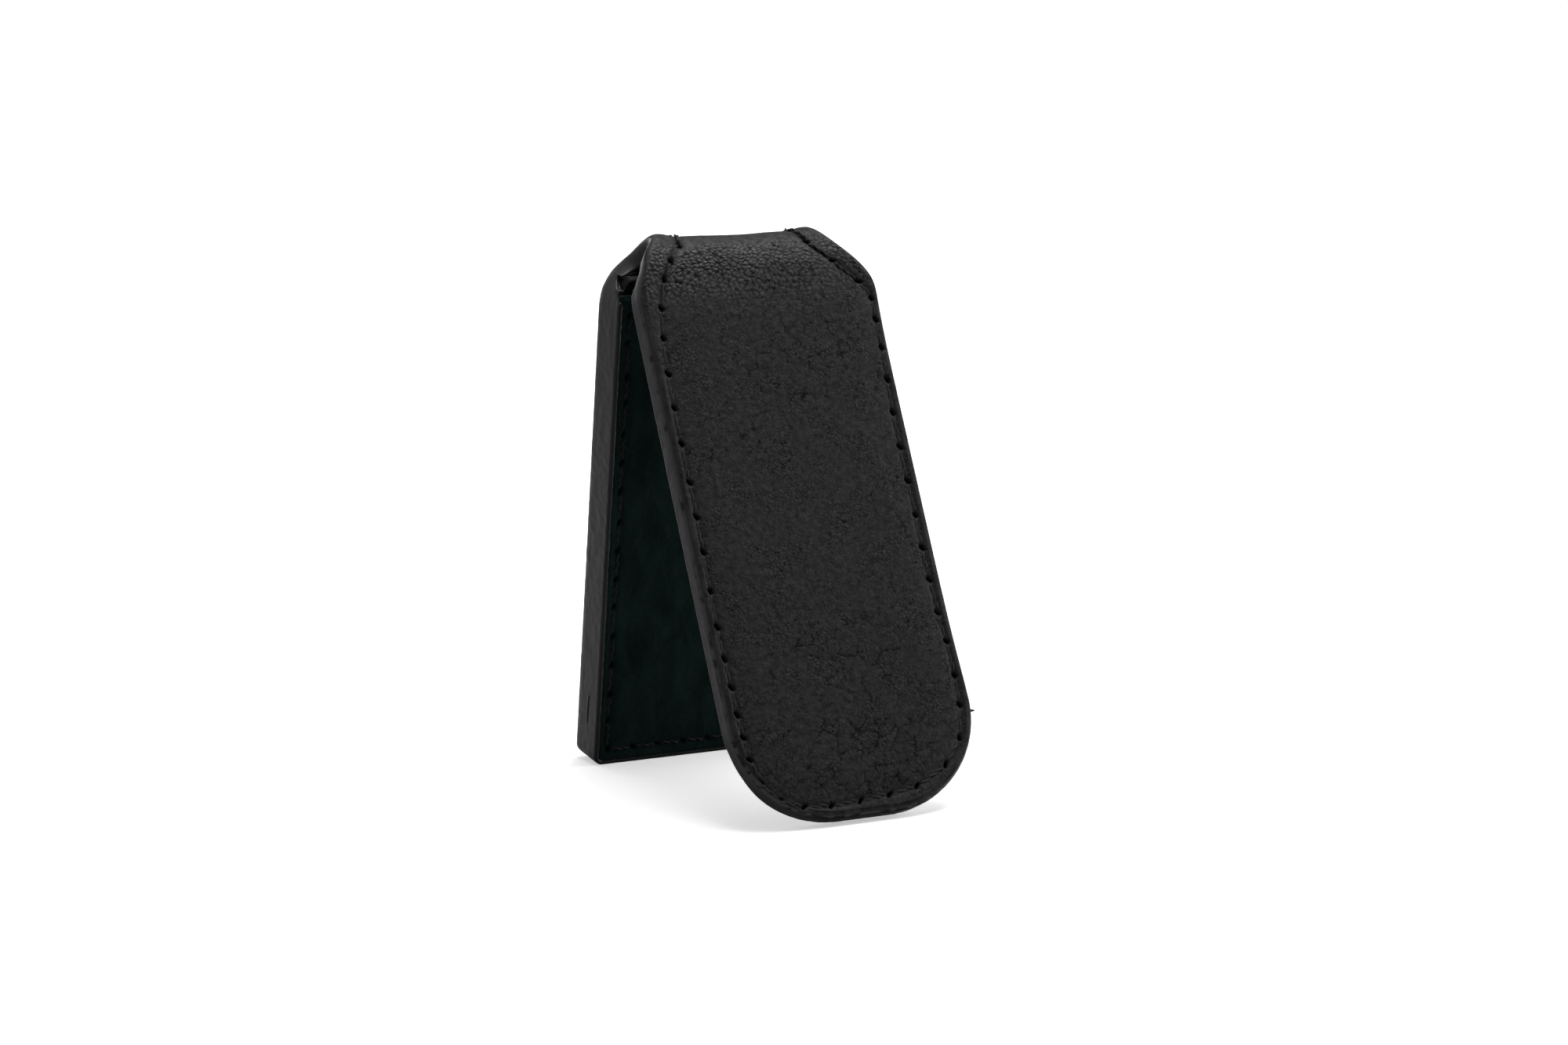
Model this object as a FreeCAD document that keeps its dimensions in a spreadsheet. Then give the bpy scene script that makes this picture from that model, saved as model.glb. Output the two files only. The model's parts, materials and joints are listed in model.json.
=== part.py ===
import FreeCAD, Part
import math
import os

import Sketcher
from FreeCAD import Placement, Rotation, Vector

# Magnetic money clip: one strap of leather folded over at the crown, with a thin rounded front leg
# and a thick square back leg, each a sewn stack of leather layers around magnets.
# Millimetres. +Z up, +X across the clip, -Y towards the front leg. Origin: bottom centre of the clip as it stands.

os.makedirs("parts", exist_ok=True)
doc = FreeCAD.newDocument("magnetic_money_clip")

# ---------------------------------------------------------------- driving dimensions
dims = doc.addObject("Spreadsheet::Sheet", "dims")
ROWS = [
    ("front_width", 32.2, "front leg, edge to edge"),
    ("back_width", 31.6, "back leg, edge to edge"),
    ("waist_width", 22.2, "strap width at the top of the crown"),
    ("shoulder_run", 10.8, "outer arc length from the crown's top to full width"),
    ("front_shoulder_radius", 5.5, "convex end of the front shoulder"),
    ("back_shoulder_radius", 6.3, "convex end of the back shoulder"),
    ("front_lean", 25.65, "front leg from vertical, degrees"),
    ("back_lean", 7.6, "back leg from vertical, degrees"),
    ("crown_front_radius", 6.6, "outer radius of the crown's front quarter"),
    ("crown_back_radius", 4.8, "outer radius of the crown's back quarter"),
    ("front_length", 68.5, "front leg from the end of the bend to its tip"),
    ("tongue_radius", 12.6, "corner radius of the tongue end"),
    ("back_corner_radius", 2.0, "corner radius of the square end"),
    ("cover_thick", 1.2, "outer leather"),
    ("backing_thick", 0.8, "backing leather under the cover"),
    ("front_lining_thick", 0.8, "suede lining, front leg"),
    ("back_core_thick", 3.0, "leather frame around the block magnets"),
    ("back_lining_thick", 1.1, "suede lining, back leg"),
    ("front_lining_drop", 1.0, "front lining's top edge below the end of the bend"),
    ("back_lining_drop", 1.5, "back lining's top edge below the end of the bend"),
    ("seam_inset", 1.6, "seam from the edge"),
    ("groove_width", 0.6, "stitching groove"),
    ("groove_depth", 0.4, "stitching groove"),
    ("stitch_pitch", 3.8, "stitch to stitch"),
    ("stitch_length", 3.1, "visible part of one stitch"),
    ("stitch_width", 0.42, "thread, flattened"),
    ("stitch_thick", 0.36, "thread, flattened"),
    ("magnet_width", 20.0, "magnets, across the clip"),
    ("magnet_height", 10.0, "magnets, along the leg"),
    ("pocket_clearance", 0.1, "around each magnet and the board"),
    ("upper_magnet_drop", 26.0, "upper magnets' top edge below the end of the bend"),
    ("lower_magnet_drop", 46.0, "lower magnets' top edge below the end of the bend"),
    ("board_width", 24.0, "stiffener board"),
    ("board_height", 48.0, "stiffener board"),
    ("board_drop", 8.0, "stiffener board's top edge below the end of the bend"),
    ("joint_gap", 0.02, "glue line between layers of the crown"),
]
VALUE = {}
for i, (name, number, note) in enumerate(ROWS, 1):
    dims.set("A%d" % i, name)
    dims.set("B%d" % i, str(number))
    dims.setAlias("B%d" % i, name)
    dims.set("C%d" % i, note)
    VALUE[name] = float(number)
doc.recompute()


class Size:
    """A length that is both a number and the spreadsheet expression that gives it."""

    def __init__(self, text, value):
        self.text, self.value = text, value

    @staticmethod
    def of(x):
        return x if isinstance(x, Size) else Size("%.6g" % x, float(x))

    def __add__(self, o):
        o = Size.of(o)
        return Size("(%s + %s)" % (self.text, o.text), self.value + o.value)

    def __sub__(self, o):
        o = Size.of(o)
        return Size("(%s - %s)" % (self.text, o.text), self.value - o.value)

    def __mul__(self, o):
        o = Size.of(o)
        return Size("(%s * %s)" % (self.text, o.text), self.value * o.value)

    def __truediv__(self, o):
        o = Size.of(o)
        return Size("(%s / %s)" % (self.text, o.text), self.value / o.value)


def cell(name):
    return Size("dims." + name, VALUE[name])


V = VALUE
TF = math.radians(V["front_lean"])
TB = math.radians(V["back_lean"])
RA, RB = V["crown_front_radius"], V["crown_back_radius"]
front_thick = V["cover_thick"] + V["backing_thick"] + V["front_lining_thick"]
back_thick = V["cover_thick"] + V["backing_thick"] + V["back_core_thick"] + V["back_lining_thick"]
FRONT_ARC = math.pi / 2 - TF  # turn of the crown's front quarter
BACK_ARC = math.pi / 2 - TB
# both legs stand on the lower edge of their inner face, at z = 0
TOP = RA - (RA - front_thick) * math.sin(TF) + V["front_length"] * math.cos(TF)
back_length = (TOP - RB + (RB - back_thick) * math.sin(TB)) / math.cos(TB)
y_low = -RA * math.cos(TF) - V["front_length"] * math.sin(TF)
y_high = RB * math.cos(TB) + back_length * math.sin(TB)
Y0 = -(y_low + y_high) / 2  # the crown's top, in the row frame
BACK_LENGTH = Size("%.5f" % back_length, back_length)

CA = Vector(0, Y0, TOP - RA)  # centre of the crown's front quarter
CB = Vector(0, Y0, TOP - RB)
N_F = Vector(0, -math.cos(TF), math.sin(TF))  # outward normals and down-the-leg directions
D_F = Vector(0, -math.sin(TF), -math.cos(TF))
N_B = Vector(0, math.cos(TB), math.sin(TB))
D_B = Vector(0, math.sin(TB), -math.cos(TB))
FRONT_ORIGIN = CA + N_F * RA  # end of the bend on the outer face, mid-width
BACK_ORIGIN = CB + N_B * RB


def axes_placement(origin, x, y, z):
    m = FreeCAD.Matrix(x.x, y.x, z.x, origin.x, x.y, y.y, z.y, origin.y, x.z, y.z, z.z, origin.z, 0, 0, 0, 1)
    return Placement(m)


# leg frames: x across, y up the leg, z out of the outer face
FRONT_FRAME = axes_placement(FRONT_ORIGIN, Vector(1, 0, 0), D_F * -1, N_F)
BACK_FRAME = axes_placement(BACK_ORIGIN, Vector(-1, 0, 0), D_B * -1, N_B)

LEG = {
    "front": dict(
        frame=FRONT_FRAME,
        half=cell("front_width") / 2,
        shoulder=cell("shoulder_run") - Size("%.6f" % (RA * FRONT_ARC), RA * FRONT_ARC),
        shoulder_radius=cell("front_shoulder_radius"),
        length=cell("front_length"),
        corner=cell("tongue_radius"),
        thick=front_thick,
    ),
    "back": dict(
        frame=BACK_FRAME,
        half=cell("back_width") / 2,
        shoulder=cell("shoulder_run") - Size("%.6f" % (RB * BACK_ARC), RB * BACK_ARC),
        shoulder_radius=cell("back_shoulder_radius"),
        length=BACK_LENGTH,
        corner=cell("back_corner_radius"),
        thick=back_thick,
    ),
}

PIECES = []  # (label, object)


# ---------------------------------------------------------------- sketches of a leg's outline
def new_sketch(body, name, depth):
    """A sketch parallel to the leg's outer face, depth below it."""
    sk = body.newObject("Sketcher::SketchObject", name)
    plane = [f for f in body.Origin.OriginFeatures if f.Role == "XY_Plane"][0]
    sk.AttachmentSupport = [(plane, "")]
    sk.MapMode = "FlatFace"
    sk.AttachmentOffset = Placement(Vector(0, 0, -depth.value), Rotation())
    sk.setExpression("AttachmentOffset.Base.z", "-1 * " + depth.text)
    return sk


def drive(sk, constraint, size):
    i = sk.addConstraint(constraint)
    sk.setExpression("Constraints[%d]" % i, size.text)
    return i


def add_u(sk, leg, inset, drop):
    """Shoulder, side, corner, end, corner, side, shoulder: a leg's outline moved in by inset, open at the top."""
    hw, ls, r = leg["half"] - inset, leg["shoulder"], leg["shoulder_radius"] - inset
    length = leg["length"] - inset
    rc = leg["corner"] - inset
    if rc.value < 0.1:
        rc = Size.of(0.1)
    a1 = math.asin((ls.value - drop.value) / r.value)
    h, l, s, rr, c = hw.value, length.value, ls.value, r.value, rc.value
    up = Vector(0, 0, 1)
    shapes = [
        Part.ArcOfCircle(Part.Circle(Vector(h - rr, -s, 0), up, rr), 0, a1),
        Part.LineSegment(Vector(h, -s, 0), Vector(h, -(l - c), 0)),
        Part.ArcOfCircle(Part.Circle(Vector(h - c, -(l - c), 0), up, c), 1.5 * math.pi, 2 * math.pi),
        Part.LineSegment(Vector(h - c, -l, 0), Vector(-(h - c), -l, 0)),
        Part.ArcOfCircle(Part.Circle(Vector(-(h - c), -(l - c), 0), up, c), math.pi, 1.5 * math.pi),
        Part.LineSegment(Vector(-h, -(l - c), 0), Vector(-h, -s, 0)),
        Part.ArcOfCircle(Part.Circle(Vector(-(h - rr), -s, 0), up, rr), math.pi - a1, math.pi),
    ]
    g = [sk.addGeometry(x, False) for x in shapes]
    C = Sketcher.Constraint
    for a, pa, b, pb in (
        (g[0], 1, g[1], 1),
        (g[1], 2, g[2], 2),
        (g[2], 1, g[3], 1),
        (g[3], 2, g[4], 2),
        (g[4], 1, g[5], 1),
        (g[5], 2, g[6], 2),
    ):
        sk.addConstraint(C("Tangent", a, pa, b, pb))
    sk.addConstraint(C("Vertical", g[1]))
    sk.addConstraint(C("Vertical", g[5]))
    sk.addConstraint(C("Horizontal", g[3]))
    sk.addConstraint(C("Symmetric", g[1], 1, g[5], 2, -2))
    sk.addConstraint(C("Equal", g[2], g[4]))
    sk.addConstraint(C("Equal", g[0], g[6]))
    drive(sk, C("DistanceX", g[5], 2, g[1], 1, 2 * h), hw * 2)
    drive(sk, C("DistanceY", g[1], 1, -1, 1, s), ls)
    drive(sk, C("DistanceY", g[3], 1, -1, 1, l), length)
    drive(sk, C("Radius", g[2], c), rc)
    drive(sk, C("Radius", g[0], rr), r)
    if drop.value < 1e-6:
        sk.addConstraint(C("PointOnObject", g[0], 2, -1))
        sk.addConstraint(C("PointOnObject", g[6], 1, -1))
    else:
        drive(sk, C("DistanceY", g[0], 2, -1, 1, drop.value), drop)
        drive(sk, C("DistanceY", g[6], 1, -1, 1, drop.value), drop)
    x_top = h - rr + rr * math.cos(a1)
    return g, x_top


def outline(sk, leg, drop):
    g, x = add_u(sk, leg, Size.of(0.0), drop)
    top = sk.addGeometry(Part.LineSegment(Vector(-x, -drop.value, 0), Vector(x, -drop.value, 0)), False)
    sk.addConstraint(Sketcher.Constraint("Coincident", top, 1, g[6], 1))
    sk.addConstraint(Sketcher.Constraint("Coincident", top, 2, g[0], 2))


def seam_band(sk, leg, drop):
    half = cell("groove_width") / 2
    g1, x1 = add_u(sk, leg, cell("seam_inset") - half, drop)
    g2, x2 = add_u(sk, leg, cell("seam_inset") + half, drop)
    for sign, p, q in ((1, (g1[0], 2), (g2[0], 2)), (-1, (g1[6], 1), (g2[6], 1))):
        line = sk.addGeometry(
            Part.LineSegment(Vector(sign * x1, -drop.value, 0), Vector(sign * x2, -drop.value, 0)), False
        )
        sk.addConstraint(Sketcher.Constraint("Coincident", line, 1, *p))
        sk.addConstraint(Sketcher.Constraint("Coincident", line, 2, *q))


def rectangle(sk, width, drop, height):
    w, a, b = width.value / 2, -drop.value, -(drop.value + height.value)
    corners = [Vector(-w, a, 0), Vector(w, a, 0), Vector(w, b, 0), Vector(-w, b, 0)]
    g = [sk.addGeometry(Part.LineSegment(corners[i], corners[(i + 1) % 4]), False) for i in range(4)]
    C = Sketcher.Constraint
    for i in range(4):
        sk.addConstraint(C("Coincident", g[i], 2, g[(i + 1) % 4], 1))
    sk.addConstraint(C("Vertical", g[1]))
    sk.addConstraint(C("Vertical", g[3]))
    sk.addConstraint(C("Horizontal", g[2]))
    sk.addConstraint(C("Symmetric", g[0], 1, g[0], 2, -2))
    drive(sk, C("DistanceX", g[0], 1, g[0], 2, 2 * w), width)
    drive(sk, C("DistanceY", g[0], 1, -1, 1, drop.value), drop)
    drive(sk, C("DistanceY", g[1], 2, g[1], 1, height.value), height)


def layer(label, leg_name, depth, thick, drop=None, windows=(), groove=None):
    """One flat layer of a leg's stack: a padded outline with pockets through it and, on a face that shows, a stitching groove."""
    leg = LEG[leg_name]
    drop = drop or Size.of(0.0)
    body = doc.addObject("PartDesign::Body", label)
    body.Label = label
    sk = new_sketch(body, label + "_outline", depth)
    outline(sk, leg, drop)
    doc.recompute()
    pad = body.newObject("PartDesign::Pad", label + "_pad")
    pad.Profile = sk
    pad.Length = thick.value
    pad.setExpression("Length", thick.text)
    pad.Reversed = True
    sk.Visibility = False
    doc.recompute()
    before = body.Shape.Volume
    if windows:
        ws = new_sketch(body, label + "_windows", depth)
        for width, top, height in windows:
            rectangle(ws, width, top, height)
        doc.recompute()
        cut = body.newObject("PartDesign::Pocket", label + "_pockets")
        cut.Profile = ws
        cut.Type = "ThroughAll"
        doc.recompute()
        gone = sum(w.value * hh.value * thick.value for w, _, hh in windows)
        if abs(before - body.Shape.Volume - gone) > 0.01 * gone:
            raise RuntimeError(label + ": the windows cut %.2f and not %.2f" % (before - body.Shape.Volume, gone))
        before = body.Shape.Volume
    if groove:
        at = depth if groove == "outer" else depth + thick
        gs = new_sketch(body, label + "_seam", at)
        seam_band(gs, leg, drop)
        doc.recompute()
        cut = body.newObject("PartDesign::Pocket", label + "_groove")
        cut.Profile = gs
        cut.Length = V["groove_depth"]
        cut.setExpression("Length", "dims.groove_depth")
        cut.Reversed = groove == "inner"
        doc.recompute()
        if before - body.Shape.Volume < 10:
            raise RuntimeError(label + ": the groove cut nothing")
    body.Placement = leg["frame"]
    PIECES.append((label, body))
    return body


def plate(label, leg_name, depth, thick, width, drop, height):
    """A plain rectangular plate lying in a leg's stack."""
    box = doc.addObject("Part::Box", label)
    box.Label = label
    for prop, size in (("Length", width), ("Width", height), ("Height", thick)):
        setattr(box, prop, size.value)
        box.setExpression(prop, size.text)
    corner = Vector(-width.value / 2, -(drop.value + height.value), -(depth.value + thick.value))
    box.Placement = LEG[leg_name]["frame"].multiply(Placement(corner, Rotation()))
    PIECES.append((label, box))
    return box


zero = Size.of(0.0)
cover, backing = cell("cover_thick"), cell("backing_thick")
clear = cell("pocket_clearance")
pocket_w = cell("magnet_width") + clear * 2
pocket_h = cell("magnet_height") + clear * 2
upper = (pocket_w, cell("upper_magnet_drop") - clear, pocket_h)
lower = (pocket_w, cell("lower_magnet_drop") - clear, pocket_h)
board = (cell("board_width") + clear * 2, cell("board_drop") - clear, cell("board_height") + clear * 2)

# ---------------------------------------------------------------- front leg
layer("outer_cover_front", "front", zero, cover, groove="outer")
layer("magnet_frame_front", "front", cover, backing, windows=(upper, lower))
layer("lining_front", "front", cover + backing, cell("front_lining_thick"), drop=cell("front_lining_drop"), groove="inner")
plate("magnet_front_upper", "front", cover, backing, cell("magnet_width"), cell("upper_magnet_drop"), cell("magnet_height"))
plate("magnet_front_lower", "front", cover, backing, cell("magnet_width"), cell("lower_magnet_drop"), cell("magnet_height"))

# ---------------------------------------------------------------- back leg
core = cell("back_core_thick")
layer("outer_cover_back", "back", zero, cover, groove="outer")
layer("backing_layer_back", "back", cover, backing, windows=(board,))
layer("magnet_frame_back", "back", cover + backing, core, drop=cell("back_lining_drop"), windows=(upper, lower))
layer(
    "lining_back", "back", cover + backing + core, cell("back_lining_thick"), drop=cell("back_lining_drop"), groove="inner"
)
plate("stiffener_board_back", "back", cover, backing, cell("board_width"), cell("board_drop"), cell("board_height"))
plate("magnet_back_upper", "back", cover + backing, core, cell("magnet_width"), cell("upper_magnet_drop"), cell("magnet_height"))
plate("magnet_back_lower", "back", cover + backing, core, cell("magnet_width"), cell("lower_magnet_drop"), cell("magnet_height"))


# ---------------------------------------------------------------- crown
# Turn phi runs from the front leg's end of the bend (0) over the top (FRONT_ARC) to the back leg's (FRONT_ARC + BACK_ARC).
TURN = FRONT_ARC + BACK_ARC
STEP = TURN / 4


def frame_at(phi):
    """Centre, outward direction and outer radius of the crown at that turn."""
    a = phi - FRONT_ARC
    out = Vector(0, math.sin(a), math.cos(a))
    return (CA, out, RA) if a <= 0 else (CB, out, RB)


def half_width(phi):
    a = phi - FRONT_ARC
    r = RA if a <= 0 else RB
    leg = LEG["front" if a <= 0 else "back"]
    rr = leg["shoulder_radius"].value
    s_end = r * (FRONT_ARC if a <= 0 else BACK_ARC)
    ls = leg["shoulder"].value
    x_end = leg["half"].value - rr + math.sqrt(rr * rr - ls * ls)
    w0 = V["waist_width"] / 2
    t = min(abs(a) * r / V["shoulder_run"], 1.0)
    te = s_end / V["shoulder_run"]
    smooth = lambda u: u * u * (3 - 2 * u)
    return w0 + (x_end - w0) * smooth(t) / smooth(te)


def section(phi, o1, o2):
    c, out, r = frame_at(phi)
    x = half_width(phi)
    p, q = c + out * (r - o1), c + out * (r - o2)
    pts = [Vector(-x, p.y, p.z), Vector(x, p.y, p.z), Vector(x, q.y, q.z), Vector(-x, q.y, q.z)]
    return Part.makePolygon(pts + [pts[0]])


def crown_strip(phi1, phi2, o1, o2):
    """A stretch of the bent strap between two turns and two depths."""
    cuts = sorted({phi1, phi2} | ({FRONT_ARC} if phi1 < FRONT_ARC < phi2 else set()))
    solids = []
    for a, b in zip(cuts, cuts[1:]):
        n = max(4, int(math.ceil((b - a) / math.radians(7))))
        # the two quarters have different radii, so a stretch ends just short of the top on its own side
        stations = [a + (b - a) * i / n for i in range(n + 1)]
        if abs(stations[0] - FRONT_ARC) < 1e-9:
            stations[0] = FRONT_ARC + 1e-7
        solids.append(Part.makeLoft([section(p, o1, o2) for p in stations], True, False))
    shape = solids[0]
    for s in solids[1:]:
        shape = shape.fuse(s)
    if len(solids) > 1:
        shape = shape.removeSplitter()
    return shape.Solids[0] if len(shape.Solids) == 1 else shape


def feature(label, shape, placement=None):
    f = doc.addObject("Part::Feature", label)
    f.Label = label
    f.Shape = shape
    f.Placement = placement or Placement()
    PIECES.append((label, f))
    return f


# hinge stations lie at the middle of each quarter of the turn
S = [STEP * (k + 0.5) for k in range(4)]
bounds = {1: (0.0, S[1]), 2: (S[1], S[2]), 3: (S[2], TURN)}
for k, (p1, p2) in bounds.items():
    feature("crown_cover_%d" % k, crown_strip(p1, p2, 0.0, V["cover_thick"] - V["joint_gap"]))
    feature(
        "crown_backing_%d" % k,
        crown_strip(p1, p2, V["cover_thick"], V["cover_thick"] + V["backing_thick"]),
    )


# ---------------------------------------------------------------- seams
def stitch(centre, along, out, sink):
    """One flattened stitch whose top lies sink below centre, measured against out."""
    L, W, T = V["stitch_length"], V["stitch_width"], V["stitch_thick"]
    box = Part.makeBox(L, W, T, Vector(-L / 2, -W / 2, -T - sink))
    side = out.cross(along)
    box.Placement = axes_placement(centre, along, side, out)
    return box


def seam_stations(leg_name, drop):
    """Points and directions along one leg's seam, in the leg's frame, a pitch apart, clear of sharp corners."""
    leg = LEG[leg_name]
    i = V["seam_inset"]
    h = leg["half"].value - i
    ls, r = leg["shoulder"].value, leg["shoulder_radius"].value - i
    l, c = leg["length"].value - i, max(leg["corner"].value - i, 0.0)
    runs = []
    side = (l - c) - ls
    if c < 3:  # square end: sides and end are separate runs
        n = int((l - ls) // V["stitch_pitch"])
        for sign in (1, -1):
            for k in range(n):
                y = -(ls + (k + 0.5) * (l - ls) / n)
                runs.append((Vector(sign * h, y, 0), Vector(0, 1, 0)))
        m = int(2 * h // V["stitch_pitch"])
        for k in range(m):
            runs.append((Vector(-h + (k + 0.5) * 2 * h / m, -l, 0), Vector(1, 0, 0)))
        return runs
    total = side + c * math.pi / 2 + (h - c)
    n = int(round(total / V["stitch_pitch"]))
    for k in range(n):
        s = (k + 0.5) * total / n
        if s < side:
            p, d = Vector(h, -(ls + s), 0), Vector(0, -1, 0)
        elif s < side + c * math.pi / 2:
            a = (s - side) / c
            p = Vector(h - c + c * math.cos(a), -(l - c) - c * math.sin(a), 0)
            d = Vector(-math.sin(a), -math.cos(a), 0)
        else:
            p, d = Vector(h - c - (s - side - c * math.pi / 2), -l, 0), Vector(-1, 0, 0)
        runs.append((p, d))
        runs.append((Vector(-p.x, p.y, 0), Vector(-d.x, d.y, 0)))
    return runs


def leg_seam(label, leg_name, face, drop):
    leg = LEG[leg_name]
    z = 0.0 if face == "outer" else -leg["thick"]
    out = Vector(0, 0, 1 if face == "outer" else -1)
    solids = [
        stitch(p + Vector(0, 0, z), d, out, V["groove_depth"] - V["stitch_thick"]) for p, d in seam_stations(leg_name, drop)
    ]
    feature(label, Part.makeCompound(solids), leg["frame"])
    return len(solids)


counts = {
    "front outer": leg_seam("seam_thread_front_outer", "front", "outer", 0.0),
    "front inner": leg_seam("seam_thread_front_inner", "front", "inner", V["front_lining_drop"]),
    "back outer": leg_seam("seam_thread_back_outer", "back", "outer", 0.0),
    "back inner": leg_seam("seam_thread_back_inner", "back", "inner", V["back_lining_drop"]),
}

# over the crown the stitches lie on the leather and bend with it, along both edges; each lies in one quarter of the bend
CROWN_STITCHES = {1: [(0.25, 1), (0.75, 1)], 2: [(0.63, 1)], 3: [(0.5, 1)]}


def bent_stitch(phi, length, x):
    c, out, r = frame_at(phi)
    half = length / 2 / r
    start = phi - FRONT_ARC - half
    o = Vector(0, math.sin(start), math.cos(start))
    w, t0 = V["stitch_width"] / 2, 0.01
    p, q = c + o * (r + t0), c + o * (r + t0 + V["stitch_thick"])
    pts = [Vector(x - w, p.y, p.z), Vector(x + w, p.y, p.z), Vector(x + w, q.y, q.z), Vector(x - w, q.y, q.z)]
    face = Part.Face(Part.makePolygon(pts + [pts[0]]))
    return face.revolve(c, Vector(-1, 0, 0), math.degrees(2 * half))


for k, (p1, p2) in bounds.items():
    solids = []
    for share, _ in CROWN_STITCHES[k]:
        phi = p1 + (p2 - p1) * share
        room = min(abs(phi - FRONT_ARC), phi, TURN - phi) * frame_at(phi)[2]
        length = min(V["stitch_length"], 2 * room - 0.2, (p2 - p1) * frame_at(phi)[2] / len(CROWN_STITCHES[k]) - 0.5)
        for sign in (1, -1):
            solids.append(bent_stitch(phi, length, sign * (half_width(phi) - V["seam_inset"] - 0.25)))
    feature("seam_thread_crown_%d" % k, Part.makeCompound(solids))

# ---------------------------------------------------------------- checks and export
doc.recompute()
for o in doc.Objects:
    bad = [s for s in o.State if s in ("Invalid", "Error")]
    if bad:
        raise RuntimeError("%s is %s" % (o.Label, bad))
labels = [l for l, _ in PIECES]
assert len(set(labels)) == len(labels)
for label, o in PIECES:
    shape = o.Shape
    if shape.isNull() or not shape.isValid() or not shape.Solids:
        raise RuntimeError(label + " has no valid solid")
    if min(s.Volume for s in shape.Solids) <= 0:
        raise RuntimeError(label + " is inside out")
for label, o in PIECES:
    o.Shape.exportStep("parts/%s.step" % label)


# ---------------------------------------------------------------- figures for the record
def tangent_crossing(p1, p2, depth):
    """Where the tangents at the ends of a stretch of the bend cross, at that depth below the outer surface."""
    c1, o1, r1 = frame_at(p1)
    c2, o2, r2 = frame_at(p2)
    a, b = c1 + o1 * (r1 - depth), c2 + o2 * (r2 - depth)
    d1, d2 = Vector(0, o1.z, -o1.y), Vector(0, o2.z, -o2.y)
    det = d1.y * (-d2.z) + d2.y * d1.z
    t = ((b.y - a.y) * (-d2.z) + d2.y * (b.z - a.z)) / det
    return a + d1 * t


strap = (V["cover_thick"] + V["backing_thick"]) / 2
print("pieces", len(PIECES), "stitches", counts)
print("top z %.4f back length %.4f Y0 %.4f thick %.2f %.2f" % (TOP, back_length, Y0, front_thick, back_thick))
for k in range(4):
    v = tangent_crossing(k * STEP, (k + 1) * STEP, strap)
    print("hinge %d: y %.5f z %.5f" % (k + 1, v.y, v.z))
print("turn per hinge %.4f deg" % math.degrees(STEP), "closing per hinge %.4f deg" % (V["front_lean"] / 4 + V["back_lean"] / 4))
p = BACK_ORIGIN + D_B * 30
print("back face point %.5f %.5f %.5f normal %.6f %.6f %.6f" % (p.x, p.y, p.z, N_B.x, N_B.y, N_B.z))
p = FRONT_ORIGIN + D_F * 30
print("front face point %.5f %.5f %.5f normal %.6f %.6f %.6f" % (p.x, p.y, p.z, N_F.x, N_F.y, N_F.z))
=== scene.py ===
import json
import math

import bpy
import numpy as np
from mathutils import Matrix, Vector


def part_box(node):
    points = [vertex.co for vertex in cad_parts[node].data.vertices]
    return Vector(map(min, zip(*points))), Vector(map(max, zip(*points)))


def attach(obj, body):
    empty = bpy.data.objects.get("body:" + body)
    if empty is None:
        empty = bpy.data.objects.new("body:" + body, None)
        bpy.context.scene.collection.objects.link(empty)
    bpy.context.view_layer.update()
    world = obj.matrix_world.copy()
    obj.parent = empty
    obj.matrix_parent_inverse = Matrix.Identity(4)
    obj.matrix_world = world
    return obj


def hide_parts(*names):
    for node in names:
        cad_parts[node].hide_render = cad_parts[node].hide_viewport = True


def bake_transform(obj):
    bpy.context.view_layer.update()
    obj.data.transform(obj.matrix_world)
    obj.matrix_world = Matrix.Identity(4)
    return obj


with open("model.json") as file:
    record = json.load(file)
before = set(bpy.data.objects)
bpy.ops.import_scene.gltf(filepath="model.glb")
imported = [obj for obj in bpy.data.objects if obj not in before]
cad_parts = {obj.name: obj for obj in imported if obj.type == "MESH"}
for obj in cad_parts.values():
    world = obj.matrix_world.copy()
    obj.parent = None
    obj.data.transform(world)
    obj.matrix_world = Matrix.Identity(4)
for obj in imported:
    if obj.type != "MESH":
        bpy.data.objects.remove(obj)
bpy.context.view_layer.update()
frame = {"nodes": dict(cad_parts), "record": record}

# ====================================================================================================
# The strap's own geometry, in millimetres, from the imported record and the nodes' boxes.
# sigma runs along the outer face: down the front leg it is negative, 0 at the end of the front leg's
# straight part, over the crown, and S2 at the start of the back leg's straight part.
# ====================================================================================================
MOUNT = {m["name"]: m for m in frame["record"]["mounts"]}
NF = np.array(MOUNT["front_face"]["axis"][1:], float)
NB = np.array(MOUNT["back_face"]["axis"][1:], float)
NF, NB = NF / np.linalg.norm(NF), NB / np.linalg.norm(NB)
DF, DB = np.array([-NF[1], NF[0]]), np.array([NB[1], -NB[0]])
TF, TB = math.asin(NF[1]), math.asin(NB[1])
RA, RB = 6.6, 4.8
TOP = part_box("crown_cover_2")[1].z * 1000
PF = np.array(MOUNT["front_face"]["pos_m"][1:], float) * 1000
Y0 = (NF @ PF - RA - (TOP - RA) * NF[1]) / NF[0]
CA, CB = np.array([Y0, TOP - RA]), np.array([Y0, TOP - RB])
FA, BA = math.pi / 2 - TF, math.pi / 2 - TB
TURN = FA + BA
STEP = TURN / 4
S1 = RA * FA
S2 = S1 + RB * BA
HWF = (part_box("outer_cover_front")[1].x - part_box("outer_cover_front")[0].x) * 500
HWB = (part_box("outer_cover_back")[1].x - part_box("outer_cover_back")[0].x) * 500
LF = 68.5
LB = (TOP - RB + (RB - 6.1) * math.sin(TB)) / math.cos(TB)
CORNER_F, CORNER_B = 12.6, 1.2
WAIST = 11.1
T_STRAP, T_FRONT, T_BACK = 2.0, 2.8, 6.1
COVER = 1.2
DROP_F, DROP_B = 1.0, 2.0
ZONES = [0.0, RA * STEP, None, None, S2]
ZONES[2] = S1 + RB * (2 * STEP - FA)
ZONES[3] = S1 + RB * (3 * STEP - FA)


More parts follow.
